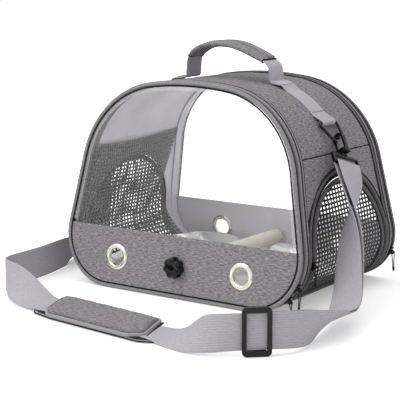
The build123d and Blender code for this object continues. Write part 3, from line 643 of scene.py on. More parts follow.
strap_across = [
    (-0.202, -0.932, 0.301),
    (-0.202, -0.932, 0.301),
    (0.3, -0.93, 0.2),
    (0.75, -0.6, 0.1),
    (0.93, -0.37, 0.05),
    (0.95, -0.3, 0.1),
    (0.97, -0.2, 0.15),
    (0.96, -0.05, 0.3),
    (0.9, 0, 0.45),
    (0.72, 0, 0.7),
    (0.35, 0, 0.94),
    (0, 0, 1),
    (0, 0, 1),
    (0, 0, 1),
    (0, 0.35, 0.94),
    (0, 0.7, 0.7),
    (0.1, 0.93, 0.35),
    (0.118, 0.993, 0),
    (0.118, 0.993, 0),
    (0.1, 0.93, 0.35),
    (0.2, 0.75, 0.65),
    (0.2, 0.4, 0.9),
    (0, 0, 1),
    (0, 0, 1),
    (0, 0, 1),
    (0, 0, 1),
    (0, 0, 1),
    (0, 0, 1),
    (0.1, 0, 1),
    (0.6, 0, 0.8),
    (1, 0, 0),
    (1, 0, 0),
    (1, 0, 0),
    (0.95, 0.3, 0),
    (0.8, 0.6, 0),
    (0.55, 0.83, 0),
    (0.3, 0.95, 0),
    (0.1, 1, 0),
    (-0.202, 0.932, -0.301),
    (-0.202, 0.932, -0.301),
]
return_points = [
    (0.1655, -0.012, 0.1598),
    (0.1748, -0.0185, 0.1459),
    (0.1828, -0.0295, 0.1215),
    (0.188, -0.0385, 0.096),
    (0.1915, -0.047, 0.07),
    (0.1975, -0.0605, 0.046),
    (0.2056, -0.08, 0.0247),
    (0.2142, -0.106, 0.0142),
    (0.2216, -0.135, 0.0152),
    (0.2254, -0.1628, 0.0178),
    (0.2259, -0.1879, 0.0202),
    (0.2234, -0.2099, 0.023),
    (0.2175, -0.229, 0.0255),
    (0.1958, -0.2485, 0.0255),
]
strap_width = 38 * mm
strap_thickness = 1.6 * mm
print("the route has", len(strap_points), "points out and", len(return_points), "back")

# %% [markdown] ## Webbing along a line `nurbs_line` reads points off the spline.

# %% Spline and strap helpers
def nurbs_line(points):
    """Points read along a NURBS spline of order 3 with these control points."""
    curve = bpy.data.curves.new("route", "CURVE")
    curve.dimensions = "3D"
    curve.resolution_u = 10
    spline = curve.splines.new("NURBS")
    spline.points.add(len(points) - 1)
    for control, point in zip(spline.points, points):
        control.co = (*point, 1)
    spline.order_u = 3
    spline.use_endpoint_u = True
    carrier = link("route", curve)
    mesh = bpy.data.meshes.new_from_object(carrier)
    line = [vertex.co.copy() for vertex in mesh.vertices]
    bpy.data.objects.remove(carrier)
    bpy.data.meshes.remove(mesh)
    return line


def strap(name, points, across, exit_point, far_end, with_pieces, replaced):
    """A run of webbing along points, with its edge half a width along across, laid as a cord."""
    middle = nurbs_line(points)
    edge_points = [Vector(p) + Vector(a).normalized() * strap_width / 2 for p, a in zip(points, across)]
    edge = nurbs_line(edge_points)
    ups = []
    for index, point in enumerate(middle):
        tangent = middle[min(index + 1, len(middle) - 1)] - middle[max(index - 1, 0)]
        ups.append((edge[index] - point).cross(tangent).normalized())
    piece = sweep(name, middle, ups, flat_section(strap_width, strap_thickness), strap_webbing)
    dress(piece, "carrier", "webbing", replaced)
    length = sum((b - a).length for a, b in zip(middle, middle[1:]))
    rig.cord(
        piece,
        exit=exit_point,
        length=length,
        diameter=strap_width,
        far_end=far_end,
        stiffness="medium",
        lay="loose",
        path=middle,
        with_pieces=with_pieces,
    )
    print(name, "is", round(length, 3), "m long")
    return piece


print("strap helper ready")

# %% [markdown]
# ## Geometry Nodes: a row of small pieces
# Stitches and zipper teeth repeat along a path. This tree turns a path into evenly spaced points, sets
# one small rounded bead at each, lined up with the path and with its outward side, and makes them real.
# The path is a mesh of edges that carries an attribute named outward.

# %% A tree that lays beads along a path
def new_tree(name, source, result, **values):
    """Tree with a geometry input, a number for each value, a finish and a geometry output."""
    tree = bpy.data.node_groups.new(name, "GeometryNodeTree")
    face = tree.interface
    face.new_socket(source, in_out="INPUT", socket_type="NodeSocketGeometry")
    for label, value in values.items():
        face.new_socket(label, in_out="INPUT", socket_type="NodeSocketFloat").default_value = value
    face.new_socket("Finish", in_out="INPUT", socket_type="NodeSocketMaterial")
    face.new_socket(result, in_out="OUTPUT", socket_type="NodeSocketGeometry")
    return tree


def hand_out(tree, inputs, last):
    """Give the last node's geometry the tree's finish and hand it out."""
    add, join = tree.nodes.new, tree.links.new
    finish = add("GeometryNodeSetMaterial")
    join(last.outputs[0], finish.inputs["Geometry"])
    join(inputs.outputs["Finish"], finish.inputs["Material"])
    join(finish.outputs[0], add("NodeGroupOutput").inputs[0])
    return tree


def row_tree():
    tree = new_tree("bead_row", "Path", "Beads", Spacing=3 * mm, Length=2 * mm, Width=mm, Height=mm)
    add, join = tree.nodes.new, tree.links.new
    inputs = add("NodeGroupInput")
    curve = add("GeometryNodeMeshToCurve")
    join(inputs.outputs["Path"], curve.inputs[0])
    spaced = add("GeometryNodeResampleCurve")
    spaced.mode = "LENGTH"
    join(curve.outputs[0], spaced.inputs["Curve"])
    join(inputs.outputs["Spacing"], spaced.inputs["Length"])
    bead = add("GeometryNodeMeshUVSphere")
    bead.inputs["Segments"].default_value = 6
    bead.inputs["Rings"].default_value = 4
    bead.inputs["Radius"].default_value = 0.5
    size = add("ShaderNodeCombineXYZ")
    for label, socket in zip(("Length", "Width", "Height"), size.inputs):
        join(inputs.outputs[label], socket)
    outward = add("GeometryNodeInputNamedAttribute")
    outward.data_type = "FLOAT_VECTOR"
    outward.inputs["Name"].default_value = "outward"
    ahead = add("FunctionNodeAlignRotationToVector")
    ahead.axis = "X"
    join(add("GeometryNodeInputTangent").outputs[0], ahead.inputs["Vector"])
    upright = add("FunctionNodeAlignRotationToVector")
    upright.axis = "Z"
    upright.pivot_axis = "X"
    join(ahead.outputs[0], upright.inputs["Rotation"])
    join(outward.outputs["Attribute"], upright.inputs["Vector"])
    placed = add("GeometryNodeInstanceOnPoints")
    join(spaced.outputs[0], placed.inputs["Points"])
    join(bead.outputs["Mesh"], placed.inputs["Instance"])
    join(upright.outputs[0], placed.inputs["Rotation"])
    join(size.outputs[0], placed.inputs["Scale"])
    real = add("GeometryNodeRealizeInstances")
    join(placed.outputs[0], real.inputs[0])
    smooth = add("GeometryNodeSetShadeSmooth")
    join(real.outputs[0], smooth.inputs[0])
    return hand_out(tree, inputs, smooth)


bead_row = row_tree()
print("bead row tree has", len(bead_row.nodes), "nodes")

# %% [markdown]
# ## Growing a piece from a tree
# `grow` runs a tree on a source mesh and keeps the result as a plain mesh. `path_object` makes the source
# for a bead row, and `stitches` sews a row of thread along any path.

# %% Grow and stitches
def grow(name, source, tree, **values):
    """Run a tree on a source object, keep its result as a plain mesh and drop the source."""
    modifier = source.modifiers.new("grow", "NODES")
    modifier.node_group = tree
    for item in tree.interface.items_tree:
        if item.in_out == "INPUT" and item.name in values:
            modifier[item.identifier] = values[item.name]
    mesh = baked(source)
    source.modifiers.remove(modifier)
    bpy.data.objects.remove(source)
    mesh.name = name
    return link(name, mesh)


def path_object(paths):
    """Edges along one or more paths of (point, outward) pairs; each path says if it is closed."""
    points, outwards, edges = [], [], []
    for path, closed in paths:
        first = len(points)
        points += [point for point, out in path]
        outwards += [value for point, out in path for value in out]
        edges += [(first + k, first + k + 1) for k in range(len(path) - 1)]
        if closed:
            edges.append((first + len(path) - 1, first))
    mesh = bpy.data.meshes.new("path")
    mesh.from_pydata(points, edges, [])
    mesh.attributes.new("outward", "FLOAT_VECTOR", "POINT").data.foreach_set("vector", outwards)
    return link("path", mesh)


def stitches(name, paths, body, slot, length=2.4 * mm, spacing=3.4 * mm, finish=None):
    """Rows of flat beads along paths, as sewing thread."""
    piece = grow(
        name,
        path_object(paths),
        bead_row,
        Spacing=spacing,
        Length=length,
        Width=0.7 * mm,
        Height=0.6 * mm,
        Finish=finish or seam_thread,
    )
    dress(piece, body, slot)
    print(name, len(piece.data.polygons), "faces")
    return piece


print("stitch helper ready")

# %% [markdown]
# ## The outline of the end faces
# Both ends of the bag are one outline of straight lines and arcs: a flat foot, round lower corners,
# sides that lean in, broad shoulders and a nearly flat roof. All pipings, zippers, walls, windows and
# panels follow it at some inset, so it is worked out once, from the same sizes as the CAD model.

# %% Outline sizes and points
body_width = 330 * mm
base_depth = 236 * mm
body_height = 248 * mm
end_lean = radians(6.8)
side_lean = radians(10.7)
corner_radius = 62.5 * mm
shoulder_radius = 111.5 * mm
roof_radius = 400 * mm
seam_height = 168 * mm
face_height = body_height / cos(end_lean)
corner_centre = (body_width / 2 - corner_radius, corner_radius)
roof_centre = (0.0, face_height - roof_radius)


def polar(centre, radius, angle):
    return (centre[0] + radius * cos(angle), centre[1] + radius * sin(angle))


line_start = polar(corner_centre, corner_radius, side_lean)
offset_x = line_start[0] - shoulder_radius * cos(side_lean)
offset_v = line_start[1] - shoulder_radius * sin(side_lean) - roof_centre[1]
half_b = offset_v * cos(side_lean) - offset_x * sin(side_lean)
rest_c = offset_x**2 + offset_v**2 - (roof_radius - shoulder_radius) ** 2
line_length = -half_b + sqrt(half_b**2 - rest_c)
shoulder_centre = (
    offset_x - line_length * sin(side_lean),
    offset_v + roof_centre[1] + line_length * cos(side_lean),
)
shoulder_end = acos(shoulder_centre[0] / (roof_radius - shoulder_radius))


def half_outline(inset, spacing=4 * mm):
    """Right half of the outline, from the middle of the foot to the crown, as (x, v, out_x, out_v)."""
    low = polar(corner_centre, corner_radius - inset, side_lean)
    high = polar(shoulder_centre, shoulder_radius - inset, side_lean)
    points = []
    steps = round(corner_centre[0] / spacing)
    points += [(corner_centre[0] * k / steps, inset, 0.0, -1.0) for k in range(steps)]

    def arc(centre, radius, start, stop):
        count = max(2, round(radius * (stop - start) / spacing))
        for k in range(count):
            angle = start + (stop - start) * k / count
            points.append((*polar(centre, radius, angle), cos(angle), sin(angle)))

    arc(corner_centre, corner_radius - inset, -pi / 2, side_lean)
    steps = round(hypot(high[0] - low[0], high[1] - low[1]) / spacing)
    for k in range(steps):
        share = k / steps
        spot = (low[0] + (high[0] - low[0]) * share, low[1] + (high[1] - low[1]) * share)
        points.append((*spot, cos(side_lean), sin(side_lean)))
    arc(shoulder_centre, shoulder_radius - inset, side_lean, shoulder_end)
    arc(roof_centre, roof_radius - inset, shoulder_end, pi / 2)
    points.append((0.0, face_height - inset, 0.0, 1.0))
    return points


def outline(inset, spacing=4 * mm):
    half = half_outline(inset, spacing)
    return half + [(-x, v, -out_x, out_v) for x, v, out_x, out_v in half[-2:0:-1]]


def on_end(x, v, depth, end):
    """Point on the front (-1) or rear (+1) end, v up its slope and depth behind its face."""
    y = base_depth / 2 - depth / cos(end_lean) - v * sin(end_lean)
    return Vector((x, end * y, v * cos(end_lean)))


def end_ring(inset, depth, end):
    """Path of (point, outward) round a whole end."""
    return [(on_end(x, v, depth, end), Vector((a, 0, b))) for x, v, a, b in outline(inset)]


def on_arc(v, centre, radius):
    """Half width and outward direction where an arc's right side passes v."""
    angle = asin(min(1, (v - centre[1]) / radius))
    return centre[0] + radius * cos(angle), Vector((cos(angle), 0, sin(angle)))


def wall_at(height, inset=0.0):
    """Half width of the bag and its outward direction at a height, moved in by inset."""
    v = height / cos(end_lean)
    if v < polar(corner_centre, corner_radius - inset, side_lean)[1]:
        return on_arc(v, corner_centre, corner_radius - inset)
    if v > polar(shoulder_centre, shoulder_radius - inset, shoulder_end)[1]:
        return on_arc(v, roof_centre, roof_radius - inset)
    low = polar(shoulder_centre, shoulder_radius - inset, side_lean)
    if v > low[1]:
        return on_arc(v, shoulder_centre, shoulder_radius - inset)
    return low[0] + (low[1] - v) * tan(side_lean), Vector((cos(side_lean), 0, sin(side_lean)))


seam_half_width = round(wall_at(seam_height)[0], 4)
print("outline has", len(outline(0)), "points; the seam is at half width", seam_half_width)

# %% [markdown]
# ## Piping and zippers round the two ends
# Each end door closes with a zipper that runs round the whole outline between two rows of corded
# piping. The piping is a cord under bias cloth, so it is a round sweep. The zipper is a tape with
# closed coil teeth: the tape is a sweep and the teeth are a bead row. Thin near-black rows in the grooves
# between cord and cloth are painted shade, and a band inside the bag hides the back of the zipper.

# %% Piping and zippers
cord_radius = 2.5 * mm
row_gap = 0.6 * mm
chain_width = 3.8 * mm
door_depth = cord_radius
chain_depth = 2 * cord_radius + row_gap + chain_width / 2
body_depth = chain_depth + chain_width / 2 + row_gap + cord_radius


def run_along(name, path, section, material, closed, body="carrier", slot="piping", *replaced):
    """Sweep a section along (point, outward) pairs and dress the piece."""
    points, ups = [point for point, out in path], [out for point, out in path]
    return dress(sweep(name, points, ups, section, material, closed), body, slot, *replaced)


def teeth(name, path, closed):
    """Closed coil of a zipper: a row of cross bars."""
    coil = grow(
        name,
        path_object([(path, closed)]),
        bead_row,
        Spacing=1.9 * mm,
        Length=1.25 * mm,
        Width=3.4 * mm,
        Height=1.5 * mm,
        Finish=zipper_tape,
    )
    return dress(coil, "carrier", "zipper")


door_edge = 2 * cord_radius + 0.15 * mm
cloth_depth = body_depth + cord_radius + 0.3 * mm
edge_band = 4.8 * mm
tape_inset, coil_inset = 4.2 * mm, 2.9 * mm
cord_section = round_section(cord_radius)
# Section of the thin near-black rows that are painted shade in grooves.
shade_line_section = round_section(0.8 * mm, 8)
# Inside the bag a band of lining hides the zipper tape and the frame cord.
cover_width = cloth_depth + 3 * mm - (door_depth + cord_radius + 0.8 * mm)


def end_row(end, suffix, inset, depth, section, cloth, *dressing):
    """A sweep round a whole end, at an inset from its outline and a depth behind its face."""
    return run_along(ends[end] + suffix, end_ring(inset, depth, end), section, cloth, True, *dressing)


for end, word in ends.items():
    door = word + "_door"
    dressing = (door, "piping", door + "_piping")
    end_row(end, "_door_cord", cord_radius, door_depth, cord_section, piping_cloth, *dressing)
    dressing = ("carrier", "piping", word + "_frame_piping")
    end_row(end, "_frame_cord", cord_radius, body_depth, cord_section, piping_cloth, *dressing)
    tape_section = block_section(chain_width + 0.8 * mm, -1.4 * mm, 1.2 * mm)
    dressing = ("carrier", "zipper", word + "_zipper")
    end_row(end, "_zip_tape", tape_inset, chain_depth, tape_section, zipper_tape, *dressing)
    coil = teeth(word + "_zip_coil", end_ring(coil_inset, chain_depth, end), True)
    # Bias tape covers the cloth's edge behind the piping; at the rear the tape takes the darker copy of the piping
    # cloth as painted shade, and the band takes the lining.
    tape_cloth, band_cloth = (piping_cloth, piping_cloth) if end == front else (doorway_cloth, lining_cloth)
    depth = cloth_depth + edge_band / 2 - 0.3 * mm
    end_row(end, "_edge_tape", 1.3 * mm, depth, flat_section(edge_band, 1.6 * mm, 4), tape_cloth)
    # A near-black row along the inner edge of the edge tape is painted shade in its groove.
    end_row(end, "_edge_shade_line", 1.5 * mm, cloth_depth + edge_band + 0.4 * mm, shade_line_section, painted_shade)
    depth = cloth_depth + 3 * mm - cover_width / 2
    end_row(end, "_inner_tape", 6.5 * mm, depth, flat_section(cover_width, 0.8 * mm, 4), band_cloth)
    # Near-black rows in the grooves beside the frame cord and the door cord are painted shade.
    depth = body_depth + cord_radius + 0.5 * mm
    end_row(end, "_frame_shade_line", 1.2 * mm, depth, round_section(1.2 * mm, 8), painted_shade)
    groove = block_section(1.1 * mm, -0.8 * mm, 0.8 * mm)
    end_row(end, "_door_seam", door_edge + 0.8 * mm, 1.2 * mm, groove, painted_shade, door)
    depth = door_depth + cord_radius
    end_row(end, "_crown_shade_line", 1.1 * mm, depth, round_section(0.6 * mm, 8), painted_shade, door)
    print(word, "zipper coil has", len(coil.data.polygons), "faces")

# %% [markdown]
# ## Sheets with a thickness
# Walls, door panels, windows and the tray are sheets. Each is worked out as a grid of outer points and
# a grid of inner points, keyed alike, and closed round its rim and round any hole, so that it is a
# solid with a true thickness. The inner side can take another finish, here the lining.

# %% A solid sheet from two grids
def slab(name, outer, inner, uvs, faces, skin, back):
    """Closed sheet: outer and inner hold a point for each key, and each face names its keys in order."""
    builder = bmesh.new()
    uv = builder.loops.layers.uv.new("UVMap")
    used = {key for face in faces for key in face}
    tops = {key: builder.verts.new(outer[key]) for key in used}
    lows = {key: builder.verts.new(inner[key]) for key in used}

    def make(corners, sides, material_index):
        face = builder.faces.new([side[key] for key, side in zip(corners, sides)])
        face.material_index = material_index
        for loop, key in zip(face.loops, corners):
            loop[uv].uv = uvs[key]

    directed = set()
    for face in faces:
        make(face, [tops] * len(face), 0)
        make(face[::-1], [lows] * len(face), 1)
        directed.update(zip(face, face[1:] + face[:1]))
    for a, b in directed:
        if (b, a) not in directed:
            make((b, a, a, b), (tops, tops, lows, lows), 0)
    mesh = mesh_from(builder, name, skin)
    mesh.materials.append(back)
    return link(name, mesh)


def grid_faces(columns, rows):
    corners = [(i, j) for i in range(columns - 1) for j in range(rows - 1)]
    return [((i, j), (i + 1, j), (i + 1, j + 1), (i, j + 1)) for i, j in corners]


def eased_steps(length, count, first=0.8 * mm):
    """Places from 0 to length, count steps with more near both ends, where cloth dips into a seam."""
    near = [0.0, first, 2 * first, 3.5 * first, 6 * first, 10 * first]
    start, stop = near[-1], length - near[-1]
    middle = [start + (stop - start) * k / count for k in range(1, count)]
    return near + middle + [length - value for value in near[::-1]]


def dip(distance, depth, reach):
    """A bell-shaped hollow: depth below 0 at a seam and nearly nothing past twice its reach."""
    return -depth * 2.718 ** (-((distance / reach) ** 2))


def ripple(point, scale, amount, seed=0.0):
    return noise.noise(point * scale + Vector((seed, 2.3 * seed, 0))) * amount


print("slab ready")

# %% [markdown]
# ## Roof and side walls
# The roof is one strip of padded canvas from one side seam over the crown to the other; each side wall
# goes on from the seam, round the lower corner to the base. The foam makes the cloth swell a little
# between its seams, and it dips into each seam. It stays flat under the hooks, which lean on it.

# %% The cloth's edges and the doorway
fabric_inset = 2 * mm
fabric = 3 * mm
doorway_radius = 91.2 * mm
doorway_centre = 151 * mm - doorway_radius
doorway_foot = 14 * mm
crease_y = -41 * mm
hook_height = 178 * mm


def wall_y(height):
    """Where the cloth of roof and walls ends, at a height."""
    return base_depth / 2 - cloth_depth / cos(end_lean) - height * tan(end_lean)


def doorway_inset(y, z):
    """How far a point of the side lies inside the doorway's edge; less than 0 is outside it."""
    if z - doorway_centre > tan(end_lean) * abs(y):
        inside = doorway_radius - hypot(y, z - doorway_centre)
    else:
        inside = doorway_radius - abs(y) * cos(end_lean) - (z - doorway_centre) * sin(end_lean)
    return min(inside, z - doorway_foot)


def to_doorway(y, z, target):
    """The nearest place whose inset is target."""
    nudge = 0.0001
    for _ in range(3):
        here = doorway_inset(y, z)
        slope_y = (doorway_inset(y + nudge, z) - here) / nudge
        slope_z = (doorway_inset(y, z + nudge) - here) / nudge
        size = max(slope_y**2 + slope_z**2, 0.5)
        y += (target - here) * slope_y / size
        z += (target - here) * slope_z / size
    return y, z


print("the doorway is", round(2 * doorway_radius, 4), "m wide")

# %% [markdown]
# ## Sheets of wall cloth
# A wall sheet is a grid over a run of the outline and the width of the cloth. Points near the doorway
# are pulled onto its edge, so that the hole is clean, and each point is then raised or sunk a little.

# %% Walls and roof
def outline_places(run, count):
    """Places (x, v, out_x, out_v, reached, total) picked from a run of outline points."""
    reached = [0.0]
    for a, b in zip(run, run[1:]):
        reached.append(reached[-1] + hypot(b[0] - a[0], b[1] - a[1]))
    places = []
    for target in eased_steps(reached[-1], count):
        k = min(range(len(reached)), key=lambda index: abs(reached[index] - target))
        places.append((*run[k], reached[k], reached[-1]))
    return places


def wall_sheet(name, places, hole, skin):
    """Sheet over a run of outline places, from the front edge of the cloth to the rear one."""
    outer, inner, uvs = {}, {}, {}
    for i, (x, v, out_x, out_v, reached, total) in enumerate(places):
        height = v * cos(end_lean)
        limit = wall_y(height)
        out = Vector((out_x, 0, out_v))
        for j, across in enumerate(eased_steps(2 * limit, 40)):
            y = across - limit
            spot = Vector((x, y, height))
            if hole and -4 * mm < doorway_inset(y, height) < 3 * mm:
                y, new_height = to_doorway(y, height, -0.3 * mm)
                wall_x, out = wall_at(new_height, fabric_inset)
                spot = Vector((wall_x, y, new_height))
            edge = min(across, 2 * limit - across)
            seam = min(reached, total - reached)
            rise = dip(edge, 1.5 * mm, 1.5 * mm) + dip(seam, 1.3 * mm, 1.2 * mm)
            swell = 0.9 * mm * min(1, edge / (25 * mm))
            rise += swell + ripple(spot, 22, 0.9 * mm) + ripple(spot, 55, 0.5 * mm)
            if seam_height < height < seam_height + 18 * mm and x > 0:
                rise += dip(abs(spot.y - crease_y), 0.9 * mm, 0.9 * mm)
            if height < 6 * mm:
                rise = min(rise, 0.8 * mm)
            near_hook = clamp(1 - (abs(spot.y) - 14 * mm) / (12 * mm))
            near_hook *= clamp(1 - (abs(height - hook_height) - 24 * mm) / (15 * mm))
            rise = rise * (1 - near_hook) + min(rise, 0) * near_hook
            outer[i, j] = spot + out * rise
            inner[i, j] = spot - out * (fabric - 0.3 * rise)
            uvs[i, j] = (spot.y, reached)
    rows = 1 + max(j for i, j in outer)
    faces = grid_faces(len(places), rows)
    if hole:
        faces = [face for face in faces if not in_doorway(face, outer)]
    return slab(name, outer, inner, uvs, faces, skin, lining_cloth)


def in_doorway(face, outer):
    middle = sum((outer[key] for key in face), Vector()) / 4
    return doorway_inset(middle.y, middle.z) > -0.2 * mm


def mirrored(piece, name):
    """A copy of a piece for the left side, turned the right way out again."""
    mesh = piece.data.copy()
    mesh.name = name
    mesh.transform(Matrix.Scale(-1, 4, (1, 0, 0)))
    mesh.flip_normals()
    return link(name, mesh)


# Side wall and roof share the first outline point at the seam's height, so that no gap opens there.
half_run = half_outline(fabric_inset, 1 * mm)
half_run = [place for place in half_run if place[0] > 99.6 * mm or place[1] > seam_height]
seam_index = min(k for k, place in enumerate(half_run) if place[1] >= seam_height / cos(end_lean))
side_places = outline_places(half_run[: seam_index + 1], 50)
right_wall = wall_sheet("right_wall", side_places, True, wall_cloth)
left_wall = mirrored(right_wall, "left_wall")
dress(right_wall, "carrier", "side_cloth", "right_side_panel")
dress(left_wall, "carrier", "side_cloth", "left_side_panel")

half_roof = outline_places(half_run[seam_index:], 36)
run_length = half_roof[-1][4]
roof_places = [(x, v, a, b, reached, 2 * run_length) for x, v, a, b, reached, total in half_roof[:-6]]
roof_places += [
    (-x, v, -a, b, total - reached, total) for x, v, a, b, reached, total in roof_places[::-1]
]
roof = wall_sheet("roof", roof_places, False, wall_cloth)
dress(roof, "carrier", "roof_cloth", "top_panel")
print("walls:", len(right_wall.data.polygons), "roof:", len(roof.data.polygons), "faces")

# %% [markdown]
# ## Side seams
# A thin near-black row along the seam between each side wall and the roof is painted shade in the seam's hollow.

# %% Side seams
seam_x, seam_v, out_x, out_v = half_run[seam_index]
for sign, word in sides.items():
    out = Vector((sign * out_x, 0, out_v))
    start = wall_y(seam_height) - edge_band
    spots = [start * (k / 30 - 1) for k in range(61)]
    path = [(Vector((sign * seam_x, y, seam_v * cos(end_lean))) - out * 0.9 * mm, out) for y in spots]
    # The near-black row in the seam is painted shade.
    section = round_section(0.9 * mm, 8)
    run_along(word + "_side_seam_shade", path, section, painted_shade, False, "carrier", "side_cloth")
print("side seams at half width", round(seam_x, 4))

# %% [markdown]
# ## Padded base
# The base is a flat padded panel that the bag stands on, sewn to the side walls at its long edges.

# %% Base
base_half = 100 * mm
base_padding = 5 * mm
outer, inner, uvs = {}, {}, {}
base_columns = eased_steps(2 * base_half, 24)
base_rows = eased_steps(2 * wall_y(0), 24)
for i, along in enumerate(base_columns):
    for j, across in enumerate(base_rows):
        edge = min(along, across, 2 * base_half - along, 2 * wall_y(0) - across)
        lift = -dip(edge, 1.2 * mm, 2 * mm)
        spot = Vector((along - base_half, across - wall_y(0), lift))
        outer[i, j] = spot
        inner[i, j] = Vector((spot.x, spot.y, base_padding))
        uvs[i, j] = (spot.x, spot.y)
base_faces = grid_faces(len(base_columns), len(base_rows))
base = slab("base", outer, inner, uvs, base_faces, wall_cloth, lining_cloth)
dress(base, "carrier", "base_cloth", "base_panel")
print("base", len(base.data.polygons), "faces")

# %% [markdown]
# ## Lower door panels and windows
# Each end door has a canvas panel up to 72 mm and clear film above it. Both are sheets on the sloping
# end plane. The canvas swells outwards, and has two round holes for the eyelets; the film has the long
# soft waves of sheet vinyl, and a paler, more opaque band along the piping is a painted highlight.

# %% Panels and windows
panel_top = 72 * mm
eyelet_x = 88 * mm
eyelet_v = 38 * mm / cos(end_lean)
eyelet_hole = 12.2 * mm


def half_at(v, inset):
    return wall_at(v * cos(end_lean), inset)[0]


def end_sheet(name, end, levels, depth, thickness, swell, wave, skin, back, holes):
    """Sheet on an end plane between heights, as wide as the outline there."""
    outer, inner, uvs = {}, {}, {}
    columns = 73
    wave_scale, wave_rise = wave
    top, low = levels[-1], levels[0]
    for j, v in enumerate(levels):
        for i in range(columns):
            share = 2 * i / (columns - 1) - 1
            share = sin(share * pi / 2) * 0.35 + share * 0.65
            x = share * half_at(v, door_edge)
            radius = hypot(abs(x) - eyelet_x, v - eyelet_v)
            spot_x, spot_v = x, v
            if holes and eyelet_hole * 0.55 < radius < eyelet_hole * 1.25:
                spot_x = (abs(x) - eyelet_x) * eyelet_hole / radius + eyelet_x
                spot_x = spot_x if x > 0 else -spot_x
                spot_v = (v - eyelet_v) * eyelet_hole / radius + eyelet_v
            edge = min(half_at(v, door_edge) - abs(x), v - low + 2 * mm, top - v + 6 * mm)
            rise = swell * clamp(edge / (18 * mm)) ** 0.6
            if holes:
                rise *= clamp((radius - 15 * mm) / (9 * mm))
            place = Vector((spot_x, end * 0.3, spot_v))
            rise += ripple(place, wave_scale, wave_rise, 3.1 * end) * clamp(edge / (10 * mm))
            outer[i, j] = on_end(spot_x, spot_v, depth - rise, end)
            inner[i, j] = on_end(spot_x, spot_v, depth - rise * 0.8 + thickness, end)
            uvs[i, j] = (spot_x, spot_v)
    faces = grid_faces(columns, len(levels))
    if holes:
        kept = []
        for face in faces:
            middle = sum((Vector((uvs[key][0], uvs[key][1], 0)) for key in face), Vector()) / 4
            if hypot(abs(middle.x) - eyelet_x, middle.y - eyelet_v) > eyelet_hole * 0.97:
                kept.append(face)
        faces = kept
    return slab(name, outer, inner, uvs, faces, skin, back)


panel_levels = [door_edge + (panel_top - door_edge) * k / 30 for k in range(31)]
film_low, film_top = panel_top + 0.15 * mm, face_height - door_edge
film_levels = [film_low + value for value in eased_steps(film_top - film_low - 0.05 * mm, 28, 0.5 * mm)]
for end, word in ends.items():
    cloths = (door_cloth, lining_cloth)
    sizes = (1.5 * mm, 2.5 * mm, 1.4 * mm, (26, 0.8 * mm))
    panel = end_sheet(word + "_panel", end, panel_levels, *sizes, *cloths, True)
    dress(panel, word + "_door", "door_cloth", word + "_lower_panel")
    sizes = (2.3 * mm, 0.6 * mm, 0.8 * mm, (9, 1.6 * mm))
    film = end_sheet(word + "_film", end, film_levels, *sizes, window_film, window_film, False)
    dress(film, word + "_door", "film", word + "_window")
    # A paler, more opaque band along the window's edge is a painted highlight on the film.
    border = [row for row in outline(door_edge + 3.2 * mm) if row[1] > film_low + 2 * mm]
    border = [(on_end(x, v, 1.6 * mm, end), Vector((0, end, 0))) for x, v, a, b in border]
    highlight_band_section = flat_section(5.5 * mm, 0.5 * mm, 4)
    run_along(word + "_film_highlight_band", border, highlight_band_section, film_edge_highlight, False, word + "_door", "film")
    out = Vector((0, end, 0))
    hem = [half_at(panel_top, 9 * mm) * (k / 30 - 1) for k in range(61)]
    hem = [(on_end(x, panel_top - 4 * mm, 0, end) + out * 0.5 * mm, out) for x in hem]
    stitches(word + "_hem_stitches", [(hem, False)], word + "_door", "door_cloth", finish=piping_cloth)
    print(word, "panel", len(panel.data.polygons), "film", len(film.data.polygons), "faces")

# %% [markdown]
# ## Eyelets and star knob
# An eyelet is a domed flange and a barrel rolled over a washer on the back: one profile turned about its
# axis. The knob is a seven-lobed outline carried through a few depths, with its edges eased.

# %% Eyelets and knob
def lathe(name, centre, axis, profile, material, sides=48):
    """Closed profile of (radius, depth) pairs turned about an axis; depth runs along the axis."""
    builder = bmesh.new()
    axis = axis.normalized()
    first = axis.orthogonal().normalized()
    second = axis.cross(first)
    rings = []
    for k in range(sides):
        angle = 2 * pi * k / sides
        radial = first * cos(angle) + second * sin(angle)
        rings.append([builder.verts.new(centre + radial * r + axis * d) for r, d in profile])
    bridge(builder, rings, looped=True)
    return link(name, mesh_from(builder, name, material, 50))


eyelet_profile = [
    (10.0, 3.0), (10.0, 1.2), (10.3, 0.3), (11.0, -0.3), (12.2, -0.6), (13.6, -0.5), (14.8, 0.0),
    (15.5, 0.8), (15.3, 1.3), (11.4, 1.4), (11.4, 4.0), (15.3, 4.05), (15.5, 4.5), (14.8, 5.1),
    (12.6, 5.4), (10.8, 5.2), (10.1, 4.4),
]
eyelet_profile = [(radius * mm, depth * mm) for radius, depth in eyelet_profile]


def joined(name, pieces):
    """One piece from several meshes with the same finish."""
    builder = bmesh.new()
    for piece in pieces:
        builder.from_mesh(piece.data)
    mesh = bpy.data.meshes.new(name)
    builder.to_mesh(mesh)
    builder.free()
    mesh.materials.append(pieces[0].data.materials[0])
    for piece in pieces:
        bpy.data.objects.remove(piece)
    return link(name, mesh)


for end, word in ends.items():
    inward = Vector((0, -end * cos(end_lean), -sin(end_lean)))
    centres = [on_end(x, eyelet_v, 0, end) for x in (-eyelet_x, eyelet_x)]
    pair = [lathe("eyelet", centre, inward, eyelet_profile, eyelet_metal) for centre in centres]
    dress(joined(word + "_eyelet_rings", pair), word + "_door", "eyelet_metal", word + "_eyelets")

knob_low, knob_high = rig.box("perch_knob")
knob_back, knob_front = knob_high[1], knob_low[1]
knob_z = (knob_low[2] + knob_high[2]) / 2
knob_lobes = 7
knob_levels = [(0, 0.9), (0.7, 0.98), (1.6, 1.0), (7.4, 1.0), (8.8, 0.965), (9.7, 0.88)]
knob_levels += [(10, 0.78), (9.9, 0.62), (9.3, 0.52), (9.2, 0.2)]


